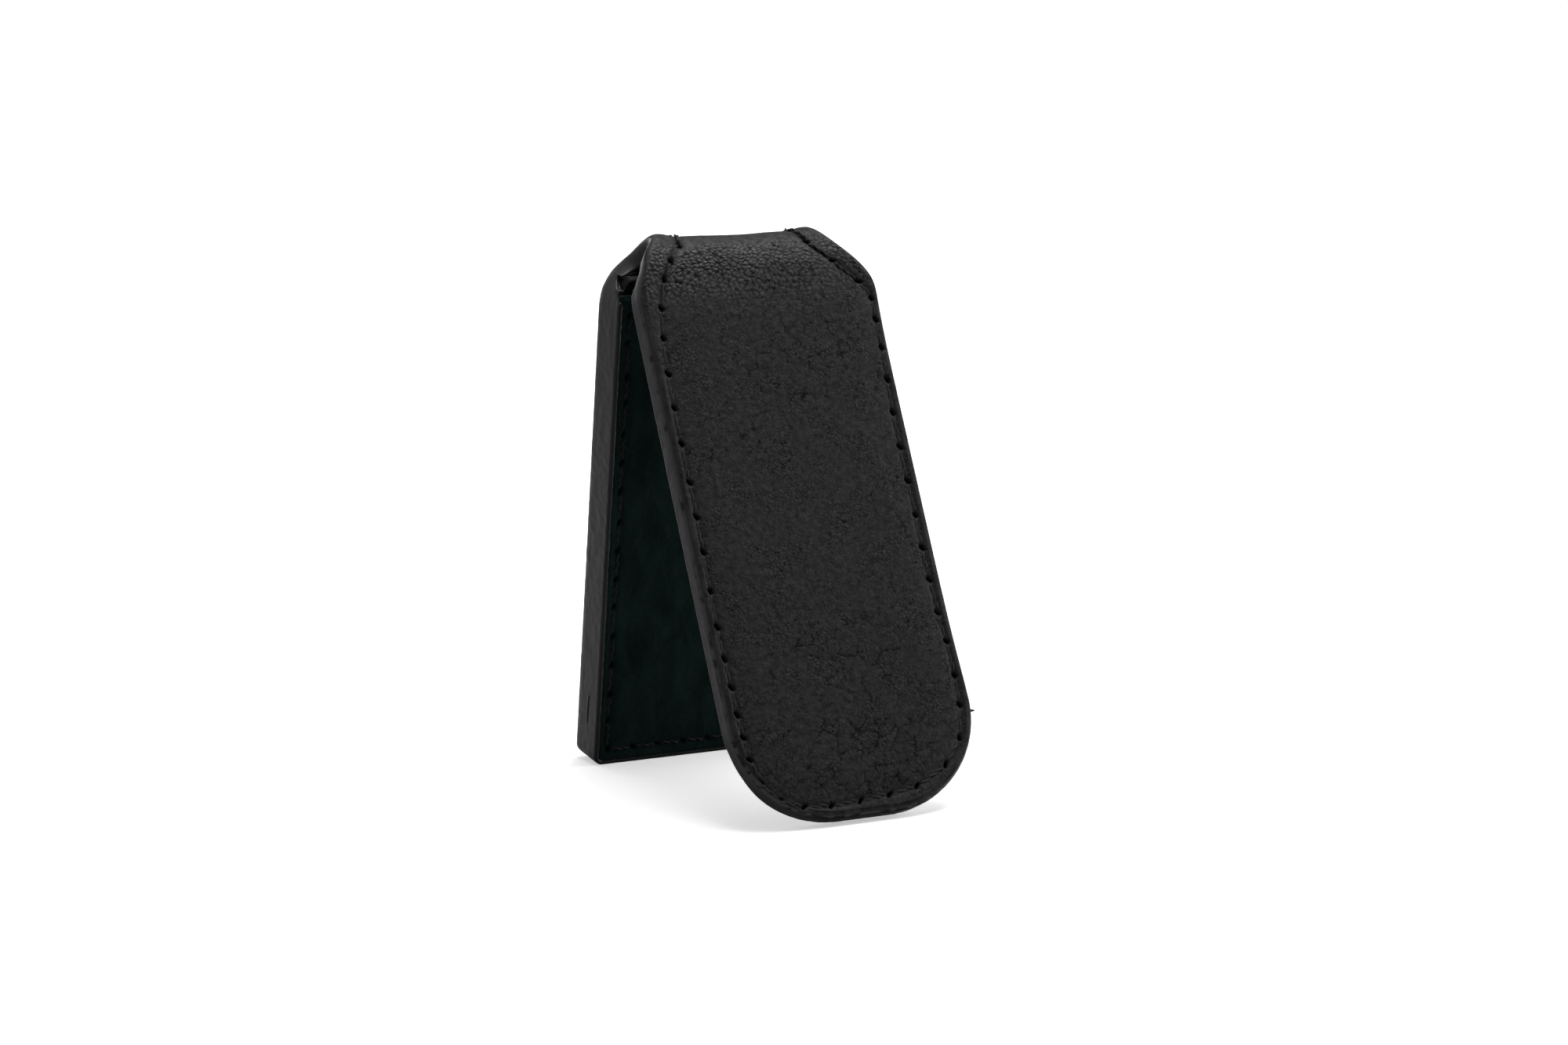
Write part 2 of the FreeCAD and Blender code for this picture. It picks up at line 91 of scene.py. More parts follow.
def path(s):
    """(y, z) of the outer face and its outward normal at sigma, as arrays."""
    s = np.asarray(s, float)
    p, n = np.zeros(s.shape + (2,)), np.zeros(s.shape + (2,))
    a = s <= 0
    p[a], n[a] = CA + NF * RA + DF * (-s[a])[:, None], NF
    b = (s > 0) & (s <= S1)
    t = s[b] / RA - FA
    n[b] = np.stack([np.sin(t), np.cos(t)], -1)
    p[b] = CA + n[b] * RA
    c = (s > S1) & (s <= S2)
    t = (s[c] - S1) / RB
    n[c] = np.stack([np.sin(t), np.cos(t)], -1)
    p[c] = CB + n[c] * RB
    d = s > S2
    p[d], n[d] = CB + NB * RB + DB * (s[d] - S2)[:, None], NB
    return p, n


def smooth(t):
    t = np.clip(t, 0, 1)
    return t * t * (3 - 2 * t)


def step(a, b, x):
    return smooth((np.asarray(x, float) - a) / (b - a))


def _half(s):
    w = np.zeros_like(s)
    for lo, hi, leg, hw, r, ls, length, c in (
        (-1e9, 0, "f", HWF, 5.5, 10.8 - S1, LF, CORNER_F),
        (S2, 1e9, "b", HWB, 6.3, 10.8 - (S2 - S1), LB, CORNER_B),
    ):
        k = (s <= hi) & (s >= lo)
        d = -s[k] if leg == "f" else s[k] - S2
        x = np.full(d.shape, hw)
        m = d < ls
        x[m] = hw - r + np.sqrt(np.maximum(r * r - (ls - d[m]) ** 2, 0))
        m = d > length - c
        x[m] = hw - c + np.sqrt(np.maximum(c * c - (np.minimum(d[m], length) - (length - c)) ** 2, 0))
        w[k] = x
    for lo, hi, hw, r, ls, run in ((0, S1, HWF, 5.5, 10.8 - S1, S1), (S1, S2, HWB, 6.3, 10.8 - (S2 - S1), S2 - S1)):
        k = (s > lo) & (s < hi) if lo else (s > 0) & (s <= S1)
        xe = hw - r + math.sqrt(r * r - ls * ls)
        w[k] = WAIST + (xe - WAIST) * smooth(np.abs(s[k] - S1) / 10.8) / smooth(run / 10.8)
    return w


_tab_s = np.arange(-LF - 1, S2 + LB + 1, 0.02)
_tab_w = _half(_tab_s)
_near = (_tab_s > -10) & (_tab_s < S2 + 10)
_kernel = np.exp(-0.5 * (np.arange(-90, 91) * 0.02 / 0.55) ** 2)
_soft = np.convolve(_tab_w, _kernel / _kernel.sum(), mode="same")
_mix = step(-10, -8, _tab_s) * (1 - step(S2 + 8, S2 + 10, _tab_s))
_tab_w = _tab_w * (1 - _mix) + _soft * _mix
_tab_d = np.gradient(_tab_w, _tab_s)


def half_width(s):
    s = np.asarray(s, float)
    exact = _half(np.atleast_1d(s).ravel()).reshape(s.shape) if s.size else s
    table = np.interp(s, _tab_s, _tab_w)
    near = (s > -10) & (s < S2 + 10)
    return np.where(near, table, exact)


def width_slope(s):
    return np.interp(s, _tab_s, _tab_d)


def edge_distance(x, s):
    """Distance inwards from the strap's outline, close to the outline."""
    ax = np.abs(x)
    slope = np.clip(width_slope(s), -2.0, 2.0)
    d = (half_width(s) - ax) / np.sqrt(1 + slope**2)
    for along, hw, length, c in ((-s, HWF, LF, CORNER_F), (s - S2, HWB, LB, CORNER_B)):
        zone = along > length - c - 0.5
        side = hw - ax
        end = length - along
        px, pe = ax - (hw - c), along - (length - c)
        corner = (px > 0) & (pe > 0)
        dd = np.where(corner, c - np.hypot(np.maximum(px, 0), np.maximum(pe, 0)), np.minimum(side, end))
        d = np.where(zone, dd, d)
    return d


def bell(s, at, wide):
    return np.exp(-(((s - at) / wide) ** 2))


def saddle(x, s):
    """The bent strap stands a little taller than the true arc at its top and flatter behind it; its edges curl up."""
    w = half_width(s)
    across = 1 - np.clip(np.abs(x) / np.maximum(w - 1.6, 1), 0, 1) ** 2
    ends = step(-6, -1, s) * (1 - step(S2 + 1, S2 + 6, s))
    rise = 0.56 * bell(s, 6.4, 3.0) - 0.22 * bell(s, 12.2, 2.0)
    return (rise - 0.62 * across * bell(s, 7.6, 4.4)) * ends


def strap_depth(s):
    """The strap's thickness: over the bend its backing is pushed together and thicker."""
    s = np.asarray(s, float)
    return T_STRAP + 1.05 * step(0.0, 6.5, s) + 0.35 * step(S2 - 2.2, S2, s)


def warped(x, s):
    """The hand-cut outline isn't quite even: fuller at the right of the shoulder and the tongue's two corners."""
    right = smooth(np.clip(x / 15.0, 0, 1))
    front = 1 - step(6, 12, s)
    dx = right * (0.34 * bell(s, -1.0, 6.0) + 0.36 * bell(s, -57.5, 8.0) + 0.36 * step(4.0, -4.0, s)) * front
    left = smooth(np.clip(-x / 12.0, 0, 1))
    dx = dx + left * (-0.95 * bell(s, 3.8, 2.6) + 0.30 * bell(s, 11.6, 1.9))
    corner = np.exp(-(((x + 11.5) / 5.0) ** 2 + ((s + 65.0) / 4.5) ** 2))
    dx = dx - 0.26 * corner
    ds = -0.22 * corner
    return x + dx, s + ds


# ====================================================================================================
# Repeatable noise
# ====================================================================================================
def _hash(ix, iy, seed):
    h = (ix.astype(np.int64) * 374761393 + iy.astype(np.int64) * 668265263 + seed * 1442695041) & 0xFFFFFFFF
    h = ((h ^ (h >> 13)) * 1274126177) & 0xFFFFFFFF
    h = ((h ^ (h >> 16)) * 2246822519) & 0xFFFFFFFF
    return ((h ^ (h >> 15)) & 0xFFFFFF) / float(0x1000000)


def perlin(x, y, seed=0):
    x, y = np.broadcast_arrays(np.asarray(x, float), np.asarray(y, float))
    ix, iy = np.floor(x), np.floor(y)
    fx, fy = x - ix, y - iy
    u, v = fx**3 * (fx * (fx * 6 - 15) + 10), fy**3 * (fy * (fy * 6 - 15) + 10)

    def g(a, b):
        t = _hash(ix + a, iy + b, seed) * 2 * math.pi
        return np.cos(t) * (fx - a) + np.sin(t) * (fy - b)

    top = g(0, 0) * (1 - u) + g(1, 0) * u
    low = g(0, 1) * (1 - u) + g(1, 1) * u
    return (top * (1 - v) + low * v) * 1.5


def fbm(x, y, seed=0, octaves=4, gain=0.5):
    total, amp, norm = 0.0, 1.0, 0.0
    for k in range(octaves):
        total = total + amp * perlin(x * 2**k + 17.3 * k, y * 2**k - 9.1 * k, seed + 101 * k)
        norm += amp
        amp *= gain
    return total / norm


def worley(x, y, seed=0, jitter=0.92):
    """Distances to the nearest and second nearest of jittered points, and the nearest one's number."""
    x, y = np.broadcast_arrays(np.asarray(x, float), np.asarray(y, float))
    ix, iy = np.floor(x), np.floor(y)
    f1, f2, cell = np.full(x.shape, 9.0), np.full(x.shape, 9.0), np.zeros(x.shape)
    for a in (-1, 0, 1):
        for b in (-1, 0, 1):
            cx, cy = ix + a, iy + b
            px = cx + 0.5 + (_hash(cx, cy, seed) - 0.5) * jitter
            py = cy + 0.5 + (_hash(cx, cy, seed + 7) - 0.5) * jitter
            d = np.hypot(px - x, py - y)
            near = d < f1
            f2 = np.where(near, f1, np.minimum(f2, d))
            cell = np.where(near, _hash(cx, cy, seed + 13), cell)
            f1 = np.where(near, d, f1)
    return f1, f2, cell


# ====================================================================================================
# The seams: where the needle went through, as (x, sigma) on the outer face
# ====================================================================================================
def catmull(points, n=8):
    p = np.array(points, float)
    p = np.vstack([2 * p[0] - p[1], p, 2 * p[-1] - p[-2]])
    out = []
    for i in range(1, len(p) - 2):
        for t in np.arange(n) / n:
            a, b, c, d = p[i - 1], p[i], p[i + 1], p[i + 2]
            out.append(0.5 * (2 * b + (c - a) * t + (2 * a - 5 * b + 4 * c - d) * t**2 + (3 * b - a - 3 * c + d) * t**3))
    out.append(p[-2])
    return np.array(out)


# the front leg's holes, hand sewn, so they are uneven: right shoulder, down, round the tongue and up the left side
FRONT_HOLES = [
    (7.8, 7.6), (8.6, 3.8), (10.87, 0.65), (13.56, -2.27), (14.9, -4.6), (14.98, -7.39), (15.02, -11.07),
    (14.81, -15.22), (14.54, -19.48), (14.5, -23.93), (14.48, -28.31), (14.51, -32.68), (14.41, -36.83),
    (14.44, -40.92), (14.52, -45.11), (14.78, -48.76), (14.64, -53.07), (14.37, -56.7), (13.45, -60.75),
    (10.97, -63.77), (6.71, -65.89), (3.0, -66.5), (-0.98, -66.8), (-4.91, -66.95), (-8.44, -66.6),
    (-11.41, -65.3), (-13.4, -63.0), (-14.3, -60.29), (-14.52, -57.61), (-14.75, -54.88), (-14.76, -51.5),
    (-14.88, -48.04), (-14.95, -44.1), (-14.85, -39.74), (-14.7, -34.87), (-14.61, -30.53), (-14.57, -26.23),
    (-14.53, -21.41), (-14.5, -16.91), (-14.35, -12.6), (-14.0, -8.1), (-13.45, -4.3), (-12.2, -0.7),
    (-10.3, 1.7), (-8.0, 4.3), (-7.6, 7.6),
]
ORDER = len(FRONT_HOLES)


def back_holes():
    """From the crown's top down the back leg's left side, across its end and up the right side."""
    half = []
    rng = np.random.default_rng(11)
    top = [(7.8, 7.6), (9.0, 11.3), (12.0, 14.9)]
    x_side = HWB - 1.65
    s = 18.6
    side = []
    end = S2 + LB - 1.9
    n = int(round((end - s) / 3.85))
    for k in range(n + 1):
        side.append((x_side + rng.uniform(-0.08, 0.08), s + (end - s) * k / n + (rng.uniform(-0.25, 0.25) if k < n else 0)))
    half = top + side
    m = 8
    bottom = [(x_side - 2 * x_side * k / m, end + rng.uniform(-0.06, 0.06)) for k in range(1, m)]
    left = [(-x + rng.uniform(-0.06, 0.06), q) for x, q in half[:0:-1]]
    return half + bottom + left + [(-7.6, 7.6)]


BACK_HOLES = back_holes()


def seam_distance(x, s, line):
    """Distance to a seam's line."""
    best = np.full(x.shape, 9.0)
    near = np.ones(x.shape, bool)
    for a, b in zip(line[:-1], line[1:]):
        lo, hi = np.minimum(a, b) - 3.2, np.maximum(a, b) + 3.2
        k = np.flatnonzero(((x >= lo[0]) & (x <= hi[0]) & (s >= lo[1]) & (s <= hi[1])).ravel())
        if len(k) == 0:
            continue
        q = np.stack([x.ravel()[k], s.ravel()[k]], -1)
        ab = b - a
        t = np.clip((q - a) @ ab / max(ab @ ab, 1e-9), 0, 1)
        d = np.linalg.norm(q - (a + t[:, None] * ab), axis=1)
        flat = best.ravel()
        flat[k] = np.minimum(flat[k], d)
        best = flat.reshape(x.shape)
    return best


def slits(holes, seed):
    """(x, sigma, direction) of each awl slit; they slant across the seam."""
    rng = np.random.default_rng(seed)
    p = np.array(holes, float)
    t = np.gradient(p, axis=0)
    ang = np.arctan2(t[:, 1], t[:, 0]) + np.radians(38 + rng.uniform(-10, 10, len(p)))
    return [(x, q, a, rng.uniform(0.85, 1.15)) for (x, q), a in zip(p, ang)]


def hole_depth(x, s, cuts, long=0.44, wide=0.19, depth=0.5):
    out = np.zeros(x.shape)
    fx, fs = x.ravel(), s.ravel()
    flat = out.ravel()
    for hx, hs, a, k in cuts:
        i = np.flatnonzero((np.abs(fx - hx) < 1.5) & (np.abs(fs - hs) < 1.5))
        if len(i):
            u = (fx[i] - hx) * math.cos(a) + (fs[i] - hs) * math.sin(a)
            v = -(fx[i] - hx) * math.sin(a) + (fs[i] - hs) * math.cos(a)
            flat[i] = np.maximum(flat[i], np.exp(-((u / (long * k)) ** 4) - (v / wide) ** 2))
    return flat.reshape(x.shape) * depth


FRONT_CUTS, BACK_CUTS = slits(FRONT_HOLES, 5), slits(BACK_HOLES, 6)
FRONT_LINE = catmull(FRONT_HOLES, 5)
BACK_LINE = catmull(BACK_HOLES, 5)


# ====================================================================================================
# The rounded edge: an ellipse from the face round to the side, the same for the face and the painted edge
# ====================================================================================================
BULGE = 0.07


def edge_round(s):
    """(inset, depth) of the outer corner's ellipse at sigma."""
    crown = step(-6, 0, s) * (1 - step(S2, S2 + 6, s))
    front = 1 - step(6, 9, s)
    rx = 0.80 + 0.20 * front * (1 - crown) + 0.20 * crown
    rz = 0.95 + 0.20 * front * (1 - crown) + 0.15 * crown
    return rx, rz


def rolled(d, s):
    """How far the face has rolled down at distance d inside the outline."""
    rx, rz = edge_round(s)
    sa = np.clip((rx - d) / (rx + BULGE), 0, 0.995)
    return rz * (1 - np.sqrt(1 - sa**2))


def lip_inset(s):
    """Where the paint starts on the face: further down the side over the bend."""
    crown = step(-3.5, 1.0, s) * (1 - step(S2 - 1.0, S2 + 3.5, s))
    return 0.30 - 0.20 * crown


# ====================================================================================================
# The grained face's relief, one function for the whole strap, so that its pieces meet
# ====================================================================================================
def face_relief(x, s):
    """(height, painted shade, rub and painted highlight, calm) of the grained outer face at (x, sigma); height in mm,
    out of the strap.
    """
    d = edge_distance(x, s)
    on_front = s <= 7.7
    seam = np.where(on_front, 9.0, 9.0)
    kf, kb = s < 11.5, s > 4.0
    if kf.any():
        seam = np.where(kf, np.minimum(seam, seam_distance(np.where(kf, x, 99), s, FRONT_LINE)), seam)
    if kb.any():
        seam = np.where(kb, np.minimum(seam, seam_distance(np.where(kb, x, 99), s, BACK_LINE)), seam)
    crown = step(-6, 1.5, s) * (1 - step(S2 - 1.5, S2 + 6, s))
    h = np.zeros(x.shape)
    # the pull of the seam, and the leather swelling a little on both sides of it
    lip = lip_inset(s)
    flush = smooth((d - lip) / 0.9)
    h -= flush * ((0.14 + 0.01 * crown) * np.exp(-((seam / 0.45) ** 2)) + 0.17 * np.exp(-((seam / 2.1) ** 2)))
    # the corner rolls over into the painted edge, behind a small crease at the paint's lip
    h -= rolled(d, s)
    crease = np.exp(-(((d - lip - 0.30) / 0.16) ** 2)) * (1 - step(-2.5, 1.5, s) * (1 - step(S2 - 1.5, S2 + 2.5, s)))
    h -= 0.08 * crease
    # holes
    holes = np.maximum(hole_depth(x, s, FRONT_CUTS), hole_depth(x, s, BACK_CUTS))
    h -= holes
    # slow swells, stronger over the middle
    inner = smooth(d / 4.0)
    h += inner * (0.055 * fbm(x / 9.0, s / 12.0, 3, 2) + 0.03 * fbm(x / 3.1, s / 4.2, 5, 2))
    # crackled band where the strap bends over into the leg, and its twin on the back
    left = 0.65 + 0.35 * step(8, -6, x)
    band_f = step(-6.8, -0.5, s + 1.3 * fbm(x / 3.0, s / 3.0, 21, 2) - 1.6 * (left - 0.8)) * (1 - step(2.6, 5.0, s))
    band_b = step(S2 + 6.8, S2 + 0.5, s - 1.3 * fbm(x / 3.0, s / 3.0, 22, 2)) * (1 - step(S2 - 2.6, S2 - 5.0, s))
    band = np.clip(np.maximum(band_f * left, band_b * 0.8), 0, 1)
    wx = x + 0.22 * fbm(x / 0.9, s / 0.9, 31, 2)
    ws = s + 0.22 * fbm(x / 0.9, s / 0.9, 32, 2)
    f1, f2, _ = worley(wx / 0.64, ws / 0.54, 41)
    crack = 1 - step(0.02, 0.30, f2 - f1)
    dome = np.clip(1 - f1 / 0.75, 0, 1) ** 1.5
    g1, g2, _ = worley(wx / 1.9 + 3.7, ws / 1.35, 43)
    big = 1 - step(0.01, 0.16, g2 - g1)
    off_seam = step(0.25, 0.8, seam) * step(0.2, 0.7, d)
    h += band * off_seam * (0.044 * dome - 0.085 * crack - 0.045 * big)
    # sparse wrinkles elsewhere, in patches
    patch = step(0.02, 0.55, fbm(x / 7.5 + 5.1, s / 9.0, 51, 3)) * 0.9
    patch = np.maximum(patch, 0.95 * np.exp(-(((x - 1.5) / 9) ** 2 + ((s + 60.0) / 7.5) ** 2)))
    patch = np.maximum(patch, 0.7 * np.exp(-(((x - 2.0) / 9) ** 2 + ((s + 14.0) / 8.0) ** 2)))
    patch = np.clip(patch + 0.22, 0, 1) * (1 - band) * off_seam * step(4.5, 2.2, s)
    wx2 = x + 0.7 * fbm(x / 2.4, s / 2.4, 61, 3)
    ws2 = s + 0.7 * fbm(x / 2.4, s / 2.4, 62, 3)
    w1, w2, _ = worley(wx2 / 2.3, ws2 / 1.9, 71)
    low = step(-44.0, -54.0, s)
    upper = step(-20.0, -9.0, s)
    gate = step(-0.05, 0.25, fbm(x / 2.2, s / 2.2, 73, 2) + 0.16 * low + 0.05 * upper)
    wrinkle = (1 - step(0.0, 0.12, w2 - w1)) * gate
    v1, v2, _ = worley(wx2 / 1.05 + 9, ws2 / 0.9, 72)
    fine = (1 - step(0.0, 0.2, v2 - v1)) * step(0.0, 0.4, fbm(x / 1.3, s / 1.3, 74, 2) + 0.12 * upper)
    h -= patch * (0.055 * wrinkle + (0.018 + 0.020 * upper) * fine)
    # everywhere: a low pebble
    p1, p2, _ = worley(wx / 0.62 + 21, ws / 0.55, 81)
    calm = 1 - 0.85 * step(3.6, 5.4, s) * (1 - step(S2 - 5.4, S2 - 3.6, s))
    spots = step(-0.05, 0.35, fbm(x / 3.4 + 2.2, s / 4.2, 83, 3))
    h += calm * off_seam * (0.005 + 0.020 * spots) * (np.clip(1 - p1 / 0.7, 0, 1) - 0.4)
    # painted shade: the base colour is darkened in the holes, along the seam's groove, in the crackle's cracks, in the
    # wrinkles and in the crease at the paint's lip
    dark = np.clip(holes / 0.5 * 1.25 + 0.10 * np.exp(-((seam / 0.5) ** 2)) + band * off_seam * 0.55 * crack
                   + patch * (0.75 * wrinkle + (0.25 + 0.2 * upper) * fine) + 0.55 * crease, 0, 1)
    # lighter base colour: real rub along the rolled corner, and a painted highlight on the crackle's raised domes
    wear = np.clip((1 - smooth(np.abs(d - 0.55) / 0.5)) * (0.4 + 0.6 * step(-0.2, 0.5, fbm(x / 2.0, s / 5.0, 91, 3))), 0, 1)
    wear = np.maximum(wear, band * off_seam * np.clip(dome * 1.6, 0, 1))
    top = step(3.2, 5.0, s) * (1 - step(S2 - 5.0, S2 - 3.2, s))
    calm_at = np.clip(np.maximum(top, 0.75 * (1 - step(0.4, 1.8, d))), 0, 1)
    return h, dark, wear, calm_at


# ====================================================================================================
# Mesh helpers
# ====================================================================================================
def place(x, s, out):
    """Points at (x, sigma), out millimetres outside the outer face, in metres."""
    x, s = np.asarray(x, float), np.asarray(s, float)
    o = out + saddle(x, s)
    x, s = warped(x, s)
    p, n = path(np.ravel(s))
    p, n = p.reshape(np.shape(s) + (2,)), n.reshape(np.shape(s) + (2,))
    return np.stack([x, p[..., 0] + n[..., 0] * o, p[..., 1] + n[..., 1] * o], -1) / 1000


def make_mesh(name, verts, faces, material, attrs=None, flat=0, uv=None):
    """flat: how many of the last faces are flat, such as the cut ends, so that they don't bend their neighbours' shading."""
    me = bpy.data.meshes.new(name)
    me.from_pydata(np.asarray(verts, float).tolist(), [], [tuple(int(i) for i in f) for f in faces])
    me.update(calc_edges=True)
    for key, values in (attrs or {}).items():
        values = np.asarray(values, np.float32)
        kind = "FLOAT_VECTOR" if values.ndim == 2 else "FLOAT"
        at = me.attributes.new(key, kind, "POINT")
        at.data.foreach_set("vector" if values.ndim == 2 else "value", values.ravel())
    if uv is not None:
        layer = me.uv_layers.new(name="OFBake")
        idx = np.zeros(len(me.loops), np.int32)
        me.loops.foreach_get("vertex_index", idx)
        layer.data.foreach_set("uv", np.asarray(uv, np.float32)[idx].ravel())
    me.polygons.foreach_set("use_smooth", [True] * (len(me.polygons) - flat) + [False] * flat)
    for m in material if isinstance(material, (list, tuple)) else [material]:
        me.materials.append(m)
    ob = bpy.data.objects.new(name, me)
    bpy.context.scene.collection.objects.link(ob)
    return ob


def grid_normals(points, flip):
    du = np.gradient(points, axis=1)
    ds = np.gradient(points, axis=0)
    n = np.cross(du, ds)
    n /= np.maximum(np.linalg.norm(n, axis=-1), 1e-12)[..., None]
    return n


def shade_with(ob, normals, count):
    """Sets the first count vertices' normals on the smooth faces; the flat ones keep their own."""
    me = ob.data
    loops = np.zeros(len(me.loops), np.int32)
    me.loops.foreach_get("vertex_index", loops)
    own = np.zeros(len(me.loops) * 3, np.float32)
    me.corner_normals.foreach_get("vector", own)
    own = own.reshape(-1, 3)
    starts, totals = np.zeros(len(me.polygons), np.int32), np.zeros(len(me.polygons), np.int32)
    me.polygons.foreach_get("loop_start", starts)
    me.polygons.foreach_get("loop_total", totals)
    is_smooth = np.zeros(len(me.polygons), bool)
    me.polygons.foreach_get("use_smooth", is_smooth)
    use = np.repeat(is_smooth, totals) & (loops < count)
    wanted = own.copy()
    wanted[use] = normals.reshape(-1, 3)[loops[use]]
    same = (wanted[use] * own[use]).sum(1)
    if np.median(same) < 0:
        wanted[use] *= -1
    me.normals_split_custom_set(wanted.tolist())


def grid_faces(rows, cols, base=0, flip=False):
    i, j = np.meshgrid(np.arange(rows - 1), np.arange(cols - 1), indexing="ij")
    a = base + i * cols + j
    q = np.stack([a, a + 1, a + cols + 1, a + cols], -1).reshape(-1, 4)
    return q[:, ::-1] if flip else q


def sheet_solid(name, sig, u, top, bottom, material, flip=False):
    """A closed layer of the strap. top(x, s) gives (out, attributes), bottom(x, s) gives out; u are the columns, -1 to 1."""
    S, U = np.meshgrid(sig, u, indexing="ij")
    X = U * half_width(S)
    out, attrs = top(X, S)
    rows, cols = S.shape
    verts = [place(X, S, out).reshape(-1, 3)]
    xb = np.stack([X[:, 0], X[:, -1]], 1)
    sb = np.stack([sig, sig], 1)
    verts.append(place(xb, sb, bottom(xb, sb)).reshape(-1, 3))
    n = rows * cols
    faces = [f for f in grid_faces(rows, cols, 0, flip)]
    r = np.arange(rows - 1)
    left_t, right_t = r * cols, r * cols + cols - 1
    lb, rb = n + 2 * r, n + 2 * r + 1
    quads = []
    quads += [np.stack([left_t, left_t + cols, lb + 2, lb], -1)]
    quads += [np.stack([right_t + cols, right_t, rb, rb + 2], -1)]
    quads += [np.stack([lb, lb + 2, rb + 2, rb], -1)]
    for q in quads:
        q = q[:, ::-1] if flip else q
        faces += [f for f in q]
    first = list(range(0, cols))[::-1] + [n, n + 1]
    last = list(range((rows - 1) * cols, rows * cols)) + [n + 2 * (rows - 1) + 1, n + 2 * (rows - 1)]
    faces.append(first if not flip else first[::-1])
    faces.append(last if not flip else last[::-1])
    full = {}
    pat = np.stack([X, S, np.zeros_like(X)], -1).reshape(-1, 3)
    patb = np.stack([xb, sb, np.full_like(xb, 5.0)], -1).reshape(-1, 3)
    full["pat"] = np.vstack([pat, patb])
    for k, v in attrs.items():
        full[k] = np.concatenate([np.ravel(v), np.zeros(2 * rows)])
    span = max(sig.max() - sig.min(), 34.0)
    uv_t = np.stack([0.02 + (X + 17) / span * 0.9, 0.02 + (S - sig.min()) / span * 0.96], -1).reshape(-1, 2)
    uv_b = np.stack([0.955 + 0.03 * (xb > 0), 0.02 + (sb - sig.min()) / span * 0.96], -1).reshape(-1, 2)
    ob = make_mesh(name, np.vstack(verts), faces, material, full, flat=len(faces) - (rows - 1) * (cols - 1), uv=np.vstack([uv_t, uv_b]))
    # at the two ends the shading is worked out across the cut, the same way on both sides of it
    normals = grid_normals(verts[0].reshape(rows, cols, 3), flip)
    for r in (0, rows - 1):
        if half_width(sig[r]) < 6 or not -1 < sig[r] < S2 + 1:
            continue
        e = 0.08
        ss = sig[r] + np.array([-e, 0, e])[:, None] * np.ones(cols)
        xx = np.broadcast_to(X[r], ss.shape)
        near = place(xx, ss, top(xx, ss)[0])
        du, ds = np.gradient(near[1], axis=0), near[2] - near[0]
        nn = np.cross(du, ds)
        normals[r] = nn / np.linalg.norm(nn, axis=-1)[:, None]
    shade_with(ob, normals, n)
    return ob


def outward(points, faces):
    """The faces of a closed mesh, turned over if they look inwards."""
    centre = points.mean(0)
    P = points - centre
    volume = 0.0
    quads = np.array([list(f) for f in faces if len(f) == 4])
    for a, b, c in ((0, 1, 2), (0, 2, 3)):
        volume += (P[quads[:, a]] * np.cross(P[quads[:, b]], P[quads[:, c]])).sum()
    for f in faces:
        if len(f) != 4:
            f = list(f)
            for k in range(1, len(f) - 1):
                volume += np.dot(P[f[0]], np.cross(P[f[k]], P[f[k + 1]]))
    return faces if volume > 0 else [f[::-1] for f in faces]


def leg_rows(which, ds, tip_ds=None):
    """sigma of the rows down a leg, closer together round the end's corners."""
    L, c = (LF, CORNER_F) if which == "front" else (LB, CORNER_B)
    n = int(math.ceil((L - c) / ds))
    straight = np.linspace(0, L - c, n + 1)
    m = int(math.ceil(c * math.pi / 2 / (tip_ds or ds)))
    th = np.linspace(0, math.pi / 2, m + 1)[1:]
    d = np.concatenate([straight, L - c + c * np.sin(th)])
    return -d if which == "front" else S2 + d


COLS = 200
U = np.linspace(-1, 1, COLS + 1)


